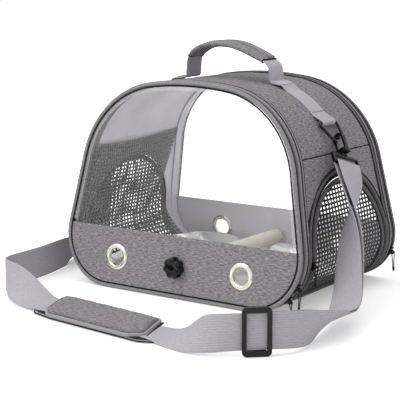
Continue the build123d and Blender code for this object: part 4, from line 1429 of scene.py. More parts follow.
def knob():
    """The knob's rings, each a depth in millimetres and a scale, from its back to its face."""
    builder = bmesh.new()
    count = knob_lobes * 16
    rings = []
    for depth, scale in knob_levels:
        ring = []
        for k in range(count):
            angle = 2 * pi * k / count
            flute = (0.5 + 0.5 * cos(knob_lobes * (angle - radians(12)))) ** 2.0
            blend = clamp((scale - 0.5) / 0.2)
            radius = (12.5 - 2.3 * flute * blend) * scale * mm
            spot = (radius * cos(angle), knob_back - depth * mm, knob_z + radius * sin(angle))
            ring.append(builder.verts.new(spot))
        rings.append(ring)
    bridge(builder, rings)
    return link("star_knob", mesh_from(builder, "star_knob", knob_plastic, 45))


dress(knob(), "perch_knob", "knob_plastic", "perch_knob")
print("eyelets and knob made; the knob is", round((knob_back - knob_front) * 1000, 1), "mm deep")

# %% [markdown]
# ## Side doors
# Each side has an arched doorway: piping on the wall, a zipper, piping on the door, and net inside.

# %% Doorway rows
def doorway_path(inset, depth, foot, sign):
    """Path of (point, outward) over the doorway at an inset from its edge."""
    radius = doorway_radius - inset
    places = []
    leg = (radius - (foot - doorway_centre) * sin(end_lean)) / cos(end_lean)
    spring = (radius * cos(end_lean), doorway_centre + radius * sin(end_lean))
    places += [(leg + (spring[0] - leg) * k / 16, foot + (spring[1] - foot) * k / 16) for k in range(16)]
    for k in range(73):
        angle = end_lean + (pi - 2 * end_lean) * k / 72
        places.append((radius * cos(angle), doorway_centre + radius * sin(angle)))
    places += [(-y, z) for y, z in places[15::-1]]
    path = []
    for y, z in places:
        x, out = wall_at(z, depth)
        path.append((Vector((sign * x, y, z)), Vector((sign * out.x, 0, out.z))))
    return path


# The doorway's rows are as far apart as the rows at the ends.
row_window, row_chain, row_door = door_depth, chain_depth, body_depth
# The cords round each doorway take the darker copy of the piping cloth, as painted shade on the sides.
for sign, word in sides.items():
    door = word + "_mesh_door"
    path = doorway_path(row_window, cord_radius, doorway_foot, sign)
    dressing = ("carrier", "piping", word + "_window_piping")
    run_along(word + "_window_cord", path, cord_section, doorway_cloth, False, *dressing)
    path = doorway_path(row_chain, tape_inset, doorway_foot, sign)
    tape_section = block_section(chain_width + 0.8 * mm, -1 * mm, 1.2 * mm)
    dressing = ("carrier", "zipper", word + "_door_zipper")
    run_along(word + "_door_zip_tape", path, tape_section, zipper_tape, False, *dressing)
    teeth(word + "_door_zip_coil", doorway_path(row_chain, coil_inset, doorway_foot, sign), False)
    path = doorway_path(4.2 * mm, fabric_inset + fabric + 0.7 * mm, doorway_foot, sign)
    run_along(word + "_inner_doorway_tape", path, flat_section(11 * mm, 0.8 * mm, 4), lining_cloth, False)
    # Near-black rows outside the window cord and beside the door cord are painted shade in their grooves.
    path = doorway_path(-0.9 * mm, 1.7 * mm, doorway_foot, sign)
    run_along(word + "_doorway_seam", path, round_section(1.4 * mm, 8), painted_shade, False)
    path = doorway_path(row_door + cord_radius + 0.7 * mm, 2.8 * mm, doorway_foot + 0.5 * mm, sign)
    run_along(word + "_net_shade_line", path, shade_line_section, painted_shade, False, door, "mesh")
    path = doorway_path(row_door, cord_radius, doorway_foot + 0.5 * mm, sign)
    dressing = (door, "piping", word + "_door_piping")
    run_along(word + "_door_cord", path, cord_section, doorway_cloth, False, *dressing)
print("doorway rows made")

# %% [markdown]
# ## Knitted net
# The net is a warp knit: rows of oval holes. Geometry Nodes shrink each cell of a plain grid inside
# itself, drop it, round what is left and give it a thickness.

# %% Net tree
def net_tree():
    tree = new_tree("knitted_net", "Cells", "Net", Hole=0.7, Thickness=0.7 * mm)
    add, join = tree.nodes.new, tree.links.new
    inputs = add("NodeGroupInput")
    cells = add("GeometryNodeExtrudeMesh")
    cells.inputs["Offset Scale"].default_value = 0.0
    join(inputs.outputs["Cells"], cells.inputs["Mesh"])
    shrunk = add("GeometryNodeScaleElements")
    join(cells.outputs["Mesh"], shrunk.inputs["Geometry"])
    join(cells.outputs["Top"], shrunk.inputs["Selection"])
    join(inputs.outputs["Hole"], shrunk.inputs["Scale"])
    opened = add("GeometryNodeDeleteGeometry")
    opened.domain = "FACE"
    join(shrunk.outputs[0], opened.inputs["Geometry"])
    join(cells.outputs["Top"], opened.inputs["Selection"])
    rounded = add("GeometryNodeSubdivisionSurface")
    rounded.inputs["Level"].default_value = 1
    join(opened.outputs[0], rounded.inputs["Mesh"])
    raised = add("GeometryNodeExtrudeMesh")
    raised.inputs["Individual"].default_value = False
    join(rounded.outputs[0], raised.inputs["Mesh"])
    join(inputs.outputs["Thickness"], raised.inputs["Offset Scale"])
    back = add("GeometryNodeFlipFaces")
    join(rounded.outputs[0], back.inputs["Mesh"])
    both = add("GeometryNodeJoinGeometry")
    join(raised.outputs["Mesh"], both.inputs[0])
    join(back.outputs[0], both.inputs[0])
    closed = add("GeometryNodeMergeByDistance")
    closed.inputs["Distance"].default_value = 0.00001
    join(both.outputs[0], closed.inputs[0])
    real = add("GeometryNodeRealizeInstances")
    join(closed.outputs[0], real.inputs[0])
    return hand_out(tree, inputs, real)


knitted_net = net_tree()
print("net tree has", len(knitted_net.nodes), "nodes")

# %% [markdown]
# ## Net for the doors
# The grid lies on the side of the bag, inside the doorway. Points at its edge are pulled under the piping.

# %% Door net helpers
net_pitch_y = 6.6 * mm
net_pitch_z = 4.9 * mm


def knit(name, points, faces, hole, yarn):
    """Turn a grid of cells into net; hole is the open share of a cell's width."""
    mesh = bpy.data.meshes.new("cells")
    mesh.from_pydata(points, [], faces)
    return grow(name, link("cells", mesh), knitted_net, Hole=hole, Thickness=0.5 * mm, Finish=yarn)


def net(sign, word):
    """Cells on the side of the bag inside the doorway; the ones on its edge end under the piping."""
    limit_y, low, high = 82 * mm, 17 * mm, 139 * mm
    columns = round(2 * limit_y / net_pitch_y)
    rows = round((high - low) / net_pitch_z)
    points, faces = [], []
    for i in range(columns + 1):
        for j in range(rows + 1):
            y = -limit_y + 2 * limit_y * i / columns
            z = low + (high - low) * j / rows
            if doorway_inset(y, z) < row_door + 1.4 * mm and z > 30 * mm:
                y, z = to_doorway(y, z, row_door)
            bulge = ripple(Vector((sign * 3, y, z)), 16, 2.2 * mm)
            bulge += ripple(Vector((sign * 3, y + z, z)), 30, 0.8 * mm)
            bulge *= clamp((doorway_inset(y, z) - row_door) / (12 * mm))
            x, out = wall_at(z, 2.6 * mm)
            points.append(Vector((sign * x, y, z)) + Vector((sign * out.x, 0, out.z)) * (bulge - 0.4 * mm))
    for i in range(columns):
        for j in range(rows):
            corner = i * (rows + 1) + j
            face = (corner, corner + rows + 1, corner + rows + 2, corner + 1)
            middle = sum((points[k] for k in face), Vector()) / 4
            if doorway_inset(middle.y, max(middle.z, 30 * mm)) > row_door + 0.5 * mm:
                faces.append(face if sign > 0 else face[::-1])
    piece = knit(word + "_net", points, faces, 0.72, net_yarn)
    dress(piece, word + "_mesh_door", "mesh", word + "_mesh_panel")
    print(word, "net has", len(piece.data.polygons), "faces")


print("a cell is", round(net_pitch_y, 4), "by", round(net_pitch_z, 4), "m")

# %% [markdown]
# ## Loose net inside the left wall
# It is sewn along the side seam, hangs in soft folds and is drawn in a little along its rear edge. It is
# declared as a sheet, with the size it would have when laid flat.

# %% Inner net
inner_net_flat = (0.203, 0.174)
inner_net_area = 0.0269


def inner_net():
    """Loose net sewn inside the left wall, from the side seam to the floor, hanging in soft folds."""
    low = 14 * mm
    columns, rows = 40, 34
    points, faces, hem = [], [], []
    for i in range(columns + 1):
        across = 2 * i / columns - 1
        high = (163 + 2.5 * across + 4 * across**2) * mm
        for j in range(rows + 1):
            z = low + (high - low) * j / rows
            limit = wall_y(z) + (4 * mm if across < 0 else -3 * mm)
            waist = max(0, across) * 26 * mm * sin(pi * min(1, (high - z) / (150 * mm))) ** 1.5
            y = limit * across - waist
            edge = min(limit - abs(y), high - z, 2 * (z - low))
            sag = min(1, edge / (30 * mm))
            fold = sin(y * 95 + 4 * ripple(Vector((0, y, z)), 12, 1.0)) * 2.4 * mm
            fold *= min(1, (high - z) / (80 * mm))
            fold += ripple(Vector((5, y, z)), 24, 3.0 * mm)
            x, out = wall_at(z, fabric_inset + fabric)
            depth = 2.4 * mm + sag * (4 * mm + fold)
            points.append(Vector((-x, y, z)) + Vector((out.x, 0, -out.z)) * depth)
        hem.append((points[-1], Vector((out.x, 0, -out.z))))
    for i in range(columns):
        for j in range(rows):
            corner = i * (rows + 1) + j
            faces.append((corner, corner + 1, corner + rows + 2, corner + rows + 1))
    piece = dress(knit("left_inner_net", points, faces, 0.83, inner_yarn), "carrier", "mesh")
    hem = [(point + out * 0.8 * mm, out) for point, out in hem]
    stitches("left_net_hem", [(hem, False)], "carrier", "mesh", 1.5 * mm, 3.3 * mm, pale_thread)
    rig.sheet(
        piece,
        flat=inner_net_flat,
        area=inner_net_area,
        held="hung",
        rests_on=["left_side_panel"],
        with_pieces=["left_net_hem"],
    )
    print("inner net has", len(piece.data.polygons), "faces")


inner_net()

# %% [markdown]
# ## The doors' nets and their bindings
# The straight foot of each net is bound with black tape under a row of stitches.

# %% Door nets and bindings
binding_low = 14.3 * mm
binding_height = 7 * mm
for sign, word in sides.items():
    net(sign, word)
    height = binding_low + binding_height / 2
    x, out = wall_at(height, 2.2 * mm)
    out = Vector((sign * out.x, 0, out.z))
    reach = doorway_radius - row_door - cord_radius + 5 * mm
    path = [(Vector((sign * x, reach * (k / 20 - 1), height)), out) for k in range(41)]
    dressing = (word + "_mesh_door", "binding", word + "_door_binding")
    run_along(word + "_binding", path, flat_section(binding_height, 3 * mm), black_cord, False, *dressing)
    row = [(point + out * 1.6 * mm, out) for point, out in path]
    stitches(word + "_binding_stitches", [(row, False)], word + "_mesh_door", "binding")

# %% [markdown]
# ## Handle
# A strap of 30 mm webbing is sewn to the roof at both ends and stands up as a soft arch. A padded
# sleeve of the wall cloth wraps its middle, closed along one side by a flap with a row of stitches.

# %% Handle
handle_foot_x = 62 * mm
handle_toe_x = 75 * mm
left_shift = 6 * mm
handle_width = 30 * mm
webbing_thickness = 1.9 * mm


def roof_height(x, lift):
    """Height of the crown outline at x, lifted by an amount."""
    return (roof_centre[1] + sqrt((roof_radius + lift) ** 2 - x**2)) * cos(end_lean)


handle_lift = 1.1 * mm
foot_z = roof_height(handle_foot_x, handle_lift)
handle_rise = 40.5 * mm
handle_line = nurbs_line(
    [(-handle_toe_x, 0, roof_height(handle_toe_x, handle_lift))]
    + [(-handle_foot_x, 0, foot_z)]
    + [(left_shift - handle_foot_x, 0, roof_height(handle_foot_x - left_shift, handle_lift))]
    + [(left_shift - handle_foot_x, 0, foot_z + 5 * mm)]
    + [(share * handle_foot_x, 0, foot_z + rise * handle_rise) for share, rise in (
        (-0.89, 0.30), (-0.88, 0.56), (-0.78, 0.78), (-0.50, 0.98), (-0.18, 1.03), (0.10, 1.01),
        (0.40, 0.88), (0.70, 0.68), (0.96, 0.50), (0.99, 0.26))]
    + [(handle_foot_x, 0, foot_z + 4 * mm), (handle_foot_x + 1 * mm, 0, foot_z)]
    + [(handle_foot_x + 9 * mm, 0, roof_height(handle_foot_x + 9 * mm, handle_lift))]
    + [(handle_toe_x, 0, roof_height(handle_toe_x, handle_lift))]
)


def arch_ups(line):
    """Outward directions of an arch in the XZ plane: a quarter turn from its tangent."""
    ups = []
    for index in range(len(line)):
        tangent = line[min(index + 1, len(line) - 1)] - line[max(index - 1, 0)]
        ups.append(Vector((-tangent.z, 0, tangent.x)).normalized())
    return ups


handle_ups = arch_ups(handle_line)
section = flat_section(handle_width, webbing_thickness)
handle = sweep("handle_webbing_band", handle_line, handle_ups, section, strap_webbing)
dress(handle, "carrier", "webbing", "handle_webbing")
print("handle stands", round(max(p.z for p in handle_line) - foot_z, 3), "m over its feet")

# %% [markdown]
# ## Padded sleeve
# Flat ovals follow the webbing, and their points wander a little, so that the cloth looks crumpled. A flap
# lies along the top with a row of stitches, and a thin near-black band at each end is painted shade in the mouth.

# %% Sleeve
grip_end, grip_low = 52 * mm, foot_z + 12 * mm
grip_range = [k for k, point in enumerate(handle_line) if abs(point.x) < grip_end and point.z > grip_low]


def grip():
    """The padded sleeve: flat ovals along the handle, a little smaller at its ends and crumpled."""
    rings = []
    count = 40
    for order, index in enumerate(grip_range):
        centre, up = handle_line[index], handle_ups[index]
        share = order / (len(grip_range) - 1)
        ease = 1 - 0.16 * (2 * abs(share - 0.5)) ** 8
        ring = []
        for k in range(count):
            angle = 2 * pi * k / count
            wide = 17.4 * mm * ease * (abs(cos(angle)) ** 0.62) * (1 if cos(angle) > 0 else -1)
            tall = 3.7 * mm * ease * (abs(sin(angle)) ** 0.8) * (1 if sin(angle) > 0 else -1)
            point = centre + Vector((0, 1, 0)) * wide + up * tall
            crumple = ripple(point, 120, 0.5 * mm) + ripple(point, 45, 0.8 * mm, 2.0)
            ring.append(point + up * crumple * (0.6 if sin(angle) > 0 else 0.4))
        rings.append(ring)
    around = [0.0]
    for here, following in zip(rings[0], rings[0][1:] + rings[0][:1]):
        around.append(around[-1] + (following - here).length)
    steps = [(after[0] - ring[0]).length for ring, after in zip(rings, rings[1:])]
    return tube("handle_sleeve", rings, around, steps, pad_cloth, 60)


def grip_mouth_shade(name, index, step):
    """A thin near-black band at the sleeve's end, where the webbing comes out: painted shade in the sleeve's mouth."""
    start = handle_line[index]
    stop = start + (handle_line[index + step] - start).normalized() * 0.9 * mm
    section = flat_section(31.6 * mm, 5.4 * mm)
    piece = sweep(name, [start, stop], [handle_ups[index]] * 2, section, painted_shade)
    return dress(piece, "carrier", "grip_cloth")


sleeve = grip()
# The near-black bands at both ends are painted shade in the sleeve's mouths.
grip_mouth_shade("handle_mouth_shade_left", grip_range[0], -1)
grip_mouth_shade("handle_mouth_shade_right", grip_range[-1], 1)
dress(sleeve, "carrier", "grip_cloth", "handle_grip")
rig.padded(sleeve, fill=0.7)
flap_line = [handle_line[k] + handle_ups[k] * 3.3 * mm + Vector((0, 5 * mm, 0)) for k in grip_range[1:-1]]
flap_ups = [handle_ups[k] for k in grip_range[1:-1]]
flap = sweep("handle_flap", flap_line, flap_ups, flat_section(17 * mm, 1.6 * mm), pad_cloth)
dress(flap, "carrier", "grip_cloth")
flap_row = [(point + up * 0.95 * mm - Vector((0, 6.6 * mm, 0)), up) for point, up in zip(flap_line, flap_ups)]
stitches("handle_stitches", [(flap_row, False)], "carrier", "grip_cloth")
print("sleeve has", len(sleeve.data.polygons), "faces")

# %% [markdown]
# ## Sewn feet
# A square of stitches holds each end of the handle's webbing on the roof.

# %% Foot stitches
def square_of_stitches(centre_x, half_x, half_y, lift):
    """Closed row of stitches on the roof round a sewn webbing end."""
    corners = [(-half_x, -half_y), (half_x, -half_y), (half_x, half_y), (-half_x, half_y)]
    path = []
    for (a, b), (c, d) in zip(corners, corners[1:] + corners[:1]):
        for k in range(8):
            x = centre_x + a + (c - a) * k / 8
            spot = Vector((x, b + (d - b) * k / 8, roof_height(abs(x), lift)))
            path.append((spot, Vector((0, 0, 1))))
    return path, True


foot_middle = (handle_foot_x + handle_toe_x) / 2
foot_halves = (8.5 * mm, handle_width / 2 - 3 * mm)
foot_centres = [sign * (foot_middle + 1.5 * mm) for sign in sides]
foot_rows = [square_of_stitches(centre_x, *foot_halves, 2.15 * mm) for centre_x in foot_centres]
stitches("handle_foot_stitches", foot_rows, "carrier", "webbing")

# %% [markdown]
# ## Ring straps
# A band of webbing runs from each foot of the handle down over the shoulder, wraps the bar of the D
# ring and is sewn down again beneath itself.

# %% Ring straps
ring_strap_width = 28 * mm
ring_bar = 1.8 * mm
bar_places = 13
loop_radius = ring_bar + 0.1 * mm + webbing_thickness / 2
ring_angle = radians(36.5)
ring_reach = shoulder_radius - fabric_inset + ring_bar + 0.16 * mm + webbing_thickness
ring_place = polar(shoulder_centre, ring_reach, ring_angle)


def ring_strap_line():
    """Places (x, v) along the roof, over the ring's bar and back beneath."""
    lift = fabric_inset - webbing_thickness / 2 - 0.35 * mm
    places = []
    for x, v, a, b in half_outline(lift, 3 * mm)[::-1]:
        past_foot = x > handle_foot_x + 1 * mm
        angle = atan2(v - shoulder_centre[1], x - shoulder_centre[0])
        if past_foot and angle > ring_angle + radians(6.5):
            over_toe = 3.7 * mm * clamp((handle_toe_x + 9 * mm - x) / (8 * mm))
            places.append((x + a * over_toe, v + b * over_toe))
    radial = (cos(ring_angle), sin(ring_angle))
    onward = (sin(ring_angle), -cos(ring_angle))
    for step in range(bar_places):
        angle = radians(100 - step * 22)
        along, high = cos(angle) * loop_radius, sin(angle) * loop_radius
        x = ring_place[0] + radial[0] * high + onward[0] * along
        places.append((x, ring_place[1] + radial[1] * high + onward[1] * along))
    return places


strap_places = ring_strap_line()
for sign, word in sides.items():
    line = [Vector((sign * x, 0, v * cos(end_lean))) for x, v in strap_places]
    ups = [up * sign for up in arch_ups(line)]
    section = flat_section(ring_strap_width, webbing_thickness * 0.9)
    piece = sweep(word + "_ring_band", line, ups, section, strap_webbing)
    dress(piece, "carrier", "webbing", word + "_ring_strap")
    near = len(strap_places) - bar_places - 2
    across = [Vector((0, (k / 6 - 1) * (ring_strap_width / 2 - 2 * mm), 0)) for k in range(13)]
    row = [(line[near] + ups[near] * 1.1 * mm + offset, ups[near]) for offset in across]
    stitches(word + "_ring_stitches", [(row, False)], "carrier", "webbing", 1.8 * mm, 2.4 * mm)
print("ring straps follow", len(strap_places), "places")

# %% [markdown]
# ## Cast and moulded fittings
# Hooks, gates, swivel loops, sliders and the adjuster have their true shapes in the CAD model, but with
# sharp edges. Each is copied, its loose triangles are merged, and a small bevel eases its edges, as
# die-casting and moulding do.

# %% Fittings with eased edges
def eased(node, body, slot, material, width):
    """A copy of a CAD node with its edges bevelled by a width."""
    builder = bmesh.new()
    builder.from_mesh(nodes[node].data)
    bmesh.ops.remove_doubles(builder, verts=builder.verts, dist=0.000002)
    bmesh.ops.dissolve_limit(builder, angle_limit=radians(2), verts=builder.verts, edges=builder.edges)
    mesh = bpy.data.meshes.new(node + "_cast")
    builder.to_mesh(mesh)
    builder.free()
    piece = link(node + "_cast", mesh)
    bevel = piece.modifiers.new("ease", "BEVEL")
    bevel.width = width
    bevel.segments = 2
    bevel.limit_method = "ANGLE"
    bevel.angle_limit = radians(40)
    result = baked(piece)
    piece.modifiers.clear()
    piece.data = result
    result.materials.clear()
    result.materials.append(material)
    result.polygons.foreach_set("use_smooth", [True] * len(result.polygons))
    result.set_sharp_from_angle(angle=radians(35))
    return dress(piece, body, slot, node)


strap_fittings = {}
for word in ("right", "left"):
    eased(word + "_d_ring", word + "_d_ring", "black_metal", black_metal, 0.1 * mm)
    strap_fittings[word] = [
        eased(word + "_hook", word + "_hook", "black_metal", black_metal, 0.8 * mm),
        eased(word + "_hook_gate", word + "_hook_gate", "black_metal", black_metal, 0.4 * mm),
        eased(word + "_swivel_loop", "carrier", "black_metal", black_metal, 0.7 * mm),
    ]
adjuster = eased("strap_slider", "strap_slider", "black_plastic", black_plastic, 0.7 * mm)
slider_names = ["front_slider_upper", "front_slider_lower", "rear_slider", "left_slider", "right_slider"]
for name in slider_names:
    eased(name, name, "black_metal", black_metal, 0.25 * mm)
print("eased", len(slider_names) + 9, "fittings")

# %% [markdown]
# ## Zipper pulls
# Each slider has a pull of thin black cord: a loop through the slider's eye with both ends in one knot.

# %% Cord pulls
joints = frame["record"]["behaviour"]["joints"]
joint_pins = {joint["name"]: joint["pos_m"] for joint in joints if "pos_m" in joint}
knot_profile = [(0.4, 0.0), (1.3, 0.3), (1.55, 1.2), (1.35, 2.0), (1.6, 2.8), (1.3, 3.8)]
knot_profile += [(0.9, 4.2), (0.9, 5.8), (0.4, 6.0)]
knot_profile = [(radius * mm, depth * mm) for radius, depth in knot_profile]


def cord_pull(node, end, x_sign, turn, length):
    """Loop of cord from the slider's pin; turn is its direction on the end plane, in degrees."""
    pin = Vector(joint_pins[node + "_swing"])
    across_plane = Vector((x_sign, 0, 0))
    up_plane = Vector((0, -end * sin(end_lean), cos(end_lean)))
    outward = Vector((0, end * cos(end_lean), sin(end_lean)))
    down = across_plane * cos(radians(turn)) + up_plane * sin(radians(turn))
    beside = down.cross(outward).normalized()
    radius, cord = 1.75 * mm, 0.62 * mm
    bottom = length - 6 * mm
    path = [pin + beside * 0.75 * mm + down * bottom, pin + beside * 0.9 * mm + down * bottom * 0.66]
    path += [pin + beside * 1.3 * mm + down * bottom * 0.33]
    for step in range(9):
        angle = pi * step / 8
        path.append(pin + beside * radius * cos(angle) - down * radius * sin(angle))
    path += [pin - beside * 1.3 * mm + down * bottom * 0.33, pin - beside * 0.9 * mm + down * bottom * 0.66]
    path += [pin - beside * 0.75 * mm + down * bottom]
    loop = sweep("loop", path, [outward] * len(path), round_section(cord, 8), black_cord)
    knot = lathe("knot", pin + down * (bottom - 0.2 * mm), down, knot_profile, black_cord, 16)
    piece = joined(node + "_cord", [loop, knot])
    return dress(piece, node, "black_cord", node)


for node, end, x_sign, turn, length in (
    ("front_pull_upper", front, 1, -90, 24 * mm),
    ("front_pull_lower", front, 1, -80, 14 * mm),
    ("rear_pull", rear, 1, -90, 24 * mm),
    ("right_pull", front, 1, -90, 24 * mm),
    ("left_pull", front, -1, -90, 24 * mm),
):
    cord_pull(node, end, x_sign, turn, length)
print("five cord pulls")

# %% [markdown]
# ## Shoulder pad
# The pad is two layers in the wall cloth, with bound edges, that the strap passes between. The upper one
# is foam: it starts as a flat block with clipped corners, is remeshed, and is blown up a little by a short
# cloth simulation with gravity off. The lower one is a flat leaf that reaches out under it on the floor.

# %% Pad's place and outlines
pad_low, pad_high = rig.box("shoulder_pad")
pad_centre = (Vector(pad_low) + Vector(pad_high)) / 2
pad_turn = radians(-6.8)
pad_tilt = radians(5)
pad_half = 3.6 * mm
pad_raise = 3.0 * mm
pad_corners = [(64, 27), (-84, 27), (-67, -19), (-57, -27), (64, -27), (80, -16)]
leaf_corners = [(66, 25), (98, -2), (106, -13), (82, -28), (-50, -28), (-82, -23), (-92, -13), (-84, 25)]


def rounded(corners, inset, reach=4 * mm):
    """A closed outline in the pad's own plane through corners in millimetres, drawn in by inset."""
    middle = sum((Vector(corner) for corner in corners), Vector((0, 0))) * mm / len(corners)
    moved = []
    for corner in corners:
        arm = Vector(corner) * mm - middle
        arm.x -= inset * (1 if arm.x > 0 else -1)
        arm.y -= inset * (1 if arm.y > 0 else -1)
        moved.append(middle + arm)
    points = []
    for k, here in enumerate(moved):
        before, after = moved[k - 1], moved[(k + 1) % len(moved)]
        start = here + (before - here).normalized() * reach
        stop = here + (after - here).normalized() * reach
        for step in range(5):
            share = step / 4
            points.append(start * (1 - share) ** 2 + here * 2 * share * (1 - share) + stop * share**2)
    full = []
    for first, second in zip(points, points[1:] + points[:1]):
        steps = max(1, round((second - first).length / (3 * mm)))
        full += [first + (second - first) * k / steps for k in range(steps)]
    return full


def pad_place(point, lift):
    """From the pad's plane to the frame; its rear edge lies a little higher."""
    x = point.x * cos(pad_turn) - point.y * sin(pad_turn)
    y = point.x * sin(pad_turn) + point.y * cos(pad_turn)
    height = pad_centre.z + pad_raise + lift + point.y * tan(pad_tilt)
    return Vector((pad_centre.x + x, pad_centre.y + y, height))


print("the pad lies at", [round(value, 3) for value in pad_centre])

# %% [markdown]
# ## The pad's upper layer
# The block is remeshed into even faces. Cloth pressure then swells it, and no point moves past a cap.

# %% Upper layer
def pad_block():
    """The upper layer as a flat block, before it is blown up."""
    builder = bmesh.new()
    rim = rounded(pad_corners, 1.5 * mm)
    rings = []
    for lift in (-pad_half, -pad_half / 2, pad_half / 2, pad_half):
        rings.append([builder.verts.new(pad_place(point, lift)) for point in rim])
    bridge(builder, rings)
    return link("pad", mesh_from(builder, "pad", pad_cloth))


def blown(piece, voxel, pressure, frames, cap):
    """Remesh a closed form and swell it by cloth pressure, each point by cap at most."""
    remesh = piece.modifiers.new("remesh", "REMESH")
    remesh.mode = "VOXEL"
    remesh.voxel_size = voxel
    piece.data = baked(piece)
    piece.modifiers.clear()
    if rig.quick():
        return piece
    start = [vertex.co.copy() for vertex in piece.data.vertices]
    cloth = piece.modifiers.new("cloth", "CLOTH")
    cloth.settings.use_pressure = True
    cloth.settings.uniform_pressure_force = pressure
    cloth.settings.effector_weights.gravity = 0
    cloth.settings.quality = 5
    scene = bpy.context.scene
    for number in range(1, frames + 1):
        scene.frame_set(number)
    swollen = baked(piece)
    piece.modifiers.clear()
    scene.frame_set(1)
    for vertex, old in zip(swollen.vertices, start):
        move = vertex.co - old
        if move.length > cap:
            vertex.co = old + move.normalized() * cap
    piece.data = swollen
    return piece


def pad_uv(piece):
    """UVs in metres seen from above, with height added so that the edges keep a weave too."""
    uv = piece.data.uv_layers.new(name="UVMap")
    for loop in piece.data.loops:
        point = piece.data.vertices[loop.vertex_index].co
        uv.data[loop.index].uv = (point.x, point.y + point.z)


pad = blown(pad_block(), 3 * mm, 3.0, 14, 1.3 * mm)
smooth = pad.modifiers.new("smooth", "SMOOTH")
smooth.iterations = 3
finer = pad.modifiers.new("finer", "SUBSURF")
finer.levels = finer.render_levels = 1
pad.data = baked(pad)
pad.modifiers.clear()
for vertex in pad.data.vertices:
    vertex.co.z = max(vertex.co.z, 0.6 * mm)
pad.data.polygons.foreach_set("use_smooth", [True] * len(pad.data.polygons))
pad_uv(pad)
dress(pad, "carrier", "pad_cloth", "shoulder_pad")
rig.padded(pad, fill=0.5)
print("pad has", len(pad.data.polygons), "faces")

# %% [markdown]
# ## The pad's edge and lower layer
# A rounded binding follows the upper layer's edge. The leaf lies on the floor below. A thin near-black sheet
# between the two is painted shade in the gap, a near-black line round the leaf's edge is painted shade where
# it meets the floor, and near-black lines at each side are painted shade in the slits where the strap goes in.

# %% Binding and leaf
def round_rim(points):
    """Outward directions round a closed line that lies nearly flat."""
    ups = []
    for index in range(len(points)):
        tangent = points[(index + 1) % len(points)] - points[index - 1]
        ups.append(tangent.cross(Vector((0, 0, 1))).normalized())
    return ups


def leaf(name, corners, inset, low, high, material):
    """A flat sheet on the floor under the pad, between two heights."""
    builder = bmesh.new()
    outline_points = rounded(corners, inset)
    rings = []
    for height in (low, high):
        rings.append([builder.verts.new((*pad_place(point, 0).xy, height)) for point in outline_points])
    bridge(builder, rings)
    piece = link(name, mesh_from(builder, name, material))
    pad_uv(piece)
    return dress(piece, "carrier", "pad_cloth")


edge_cloth = heathered("binding_cloth", 158, 0.35)
rim = [pad_place(point, -1.4 * mm) for point in rounded(pad_corners, 0.6 * mm)]
binding_angles = [2 * pi * k / 16 for k in range(16)]
binding_section = [(2.6 * mm * sin(angle), 2.0 * mm * cos(angle)) for angle in binding_angles]
pad_binding = sweep("pad_binding", rim, round_rim(rim), binding_section, edge_cloth, True)
dress(pad_binding, "carrier", "pad_cloth")
pad_leaf = leaf("pad_leaf", leaf_corners, 0, 0.7 * mm, 2.2 * mm, edge_cloth)
# A near-black sheet between pad and leaf, and a near-black line round the leaf's edge, are painted shade.
pad_gap_shade = leaf("pad_gap_shade", leaf_corners, 2.6 * mm, 2.3 * mm, 3.4 * mm, painted_shade)
leaf_rim = [Vector((*pad_place(point, 0).xy, 1.5 * mm)) for point in rounded(leaf_corners, -0.2 * mm)]
pad_edge = sweep("pad_edge", leaf_rim, round_rim(leaf_rim), round_section(0.8 * mm, 8), painted_shade, True)
dress(pad_edge, "carrier", "pad_cloth")
# Near-black lines at the slits where the strap goes in are painted shade.
for word, start, stop in (("left", (-88, 25), (-71, -19)), ("right", (68, 25), (83, -15))):
    slit = [pad_place(Vector(start).lerp(Vector(stop), k / 8) * mm, -2.2 * mm) for k in range(9)]
    ups = [Vector((0, 0, 1))] * len(slit)
    mouth = sweep("pad_slit_shade_" + word, slit, ups, round_section(1.1 * mm, 8), painted_shade)
    dress(mouth, "carrier", "pad_cloth")
pad_pieces = [pad, pad_binding, pad_leaf, pad_gap_shade, pad_edge]
print(len(pad_pieces), "pieces of the pad go with the strap")

# %% [markdown]
# ## The two runs of webbing
# The main run carries the hooks, the pad and the adjuster. The return run is the tail that comes back
# from the right hook's loop to the adjuster's middle bar.

# %% Lay the strap
main_pieces = strap_fittings["right"] + strap_fittings["left"] + [adjuster] + pad_pieces
strap("strap_main", strap_points, strap_across, strap_points[0], "object", main_pieces, "shoulder_strap")
return_across = strap_across[: len(return_points)]
strap("strap_return", return_points, return_across, return_points[0], "object", [], "shoulder_strap_return")

# %% [markdown]
# ## Tray, perch and what stays as CAD
# The tray is a shallow dish of bright foil-faced sheet, crumpled all over, with a ragged rim that is
# highest at the rear and a loose fold beside the perch. The perch, its bolt and washer and the stiff base
# board keep their CAD solids and only get a finish.

# %% Tray and plain CAD pieces
tray_low, tray_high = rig.box("floor_tray")
tray_squareness = 8
plain_rim = 9.7 * mm
rim_steps = (1, 2, 3, 4, 5, 6, 7, 8, 9, 9.7)
rim_tops = [(-160, 24), (-138, 27), (-114, 30.5), (-90, 32), (-66, 31), (-48, 27), (-30, 24)]
rim_tops += [(-17, 22), (-8, 18), (12, 18), (30, 22), (70, 26), (110, 28), (160, 24)]


def rim_top(x):
    """How high the crumpled rear rim stands at x; it stays low under the perch."""
    for (left, low), (right, high) in zip(rim_tops, rim_tops[1:]):
        if left * mm <= x <= right * mm:
            return (low + (high - low) * (x / mm - left) / (right - left)) * mm
    return 18 * mm


def fold(spot):
    """The foil stands up in a loose fold beside the perch, near the rear."""
    across = clamp((spot.x - 10 * mm) / (6 * mm)) * clamp((90 * mm - spot.x) / (40 * mm))
    along = clamp((spot.y - 25 * mm) / (40 * mm)) * clamp((98 * mm - spot.y) / (7 * mm))
    return 22 * mm * across * along


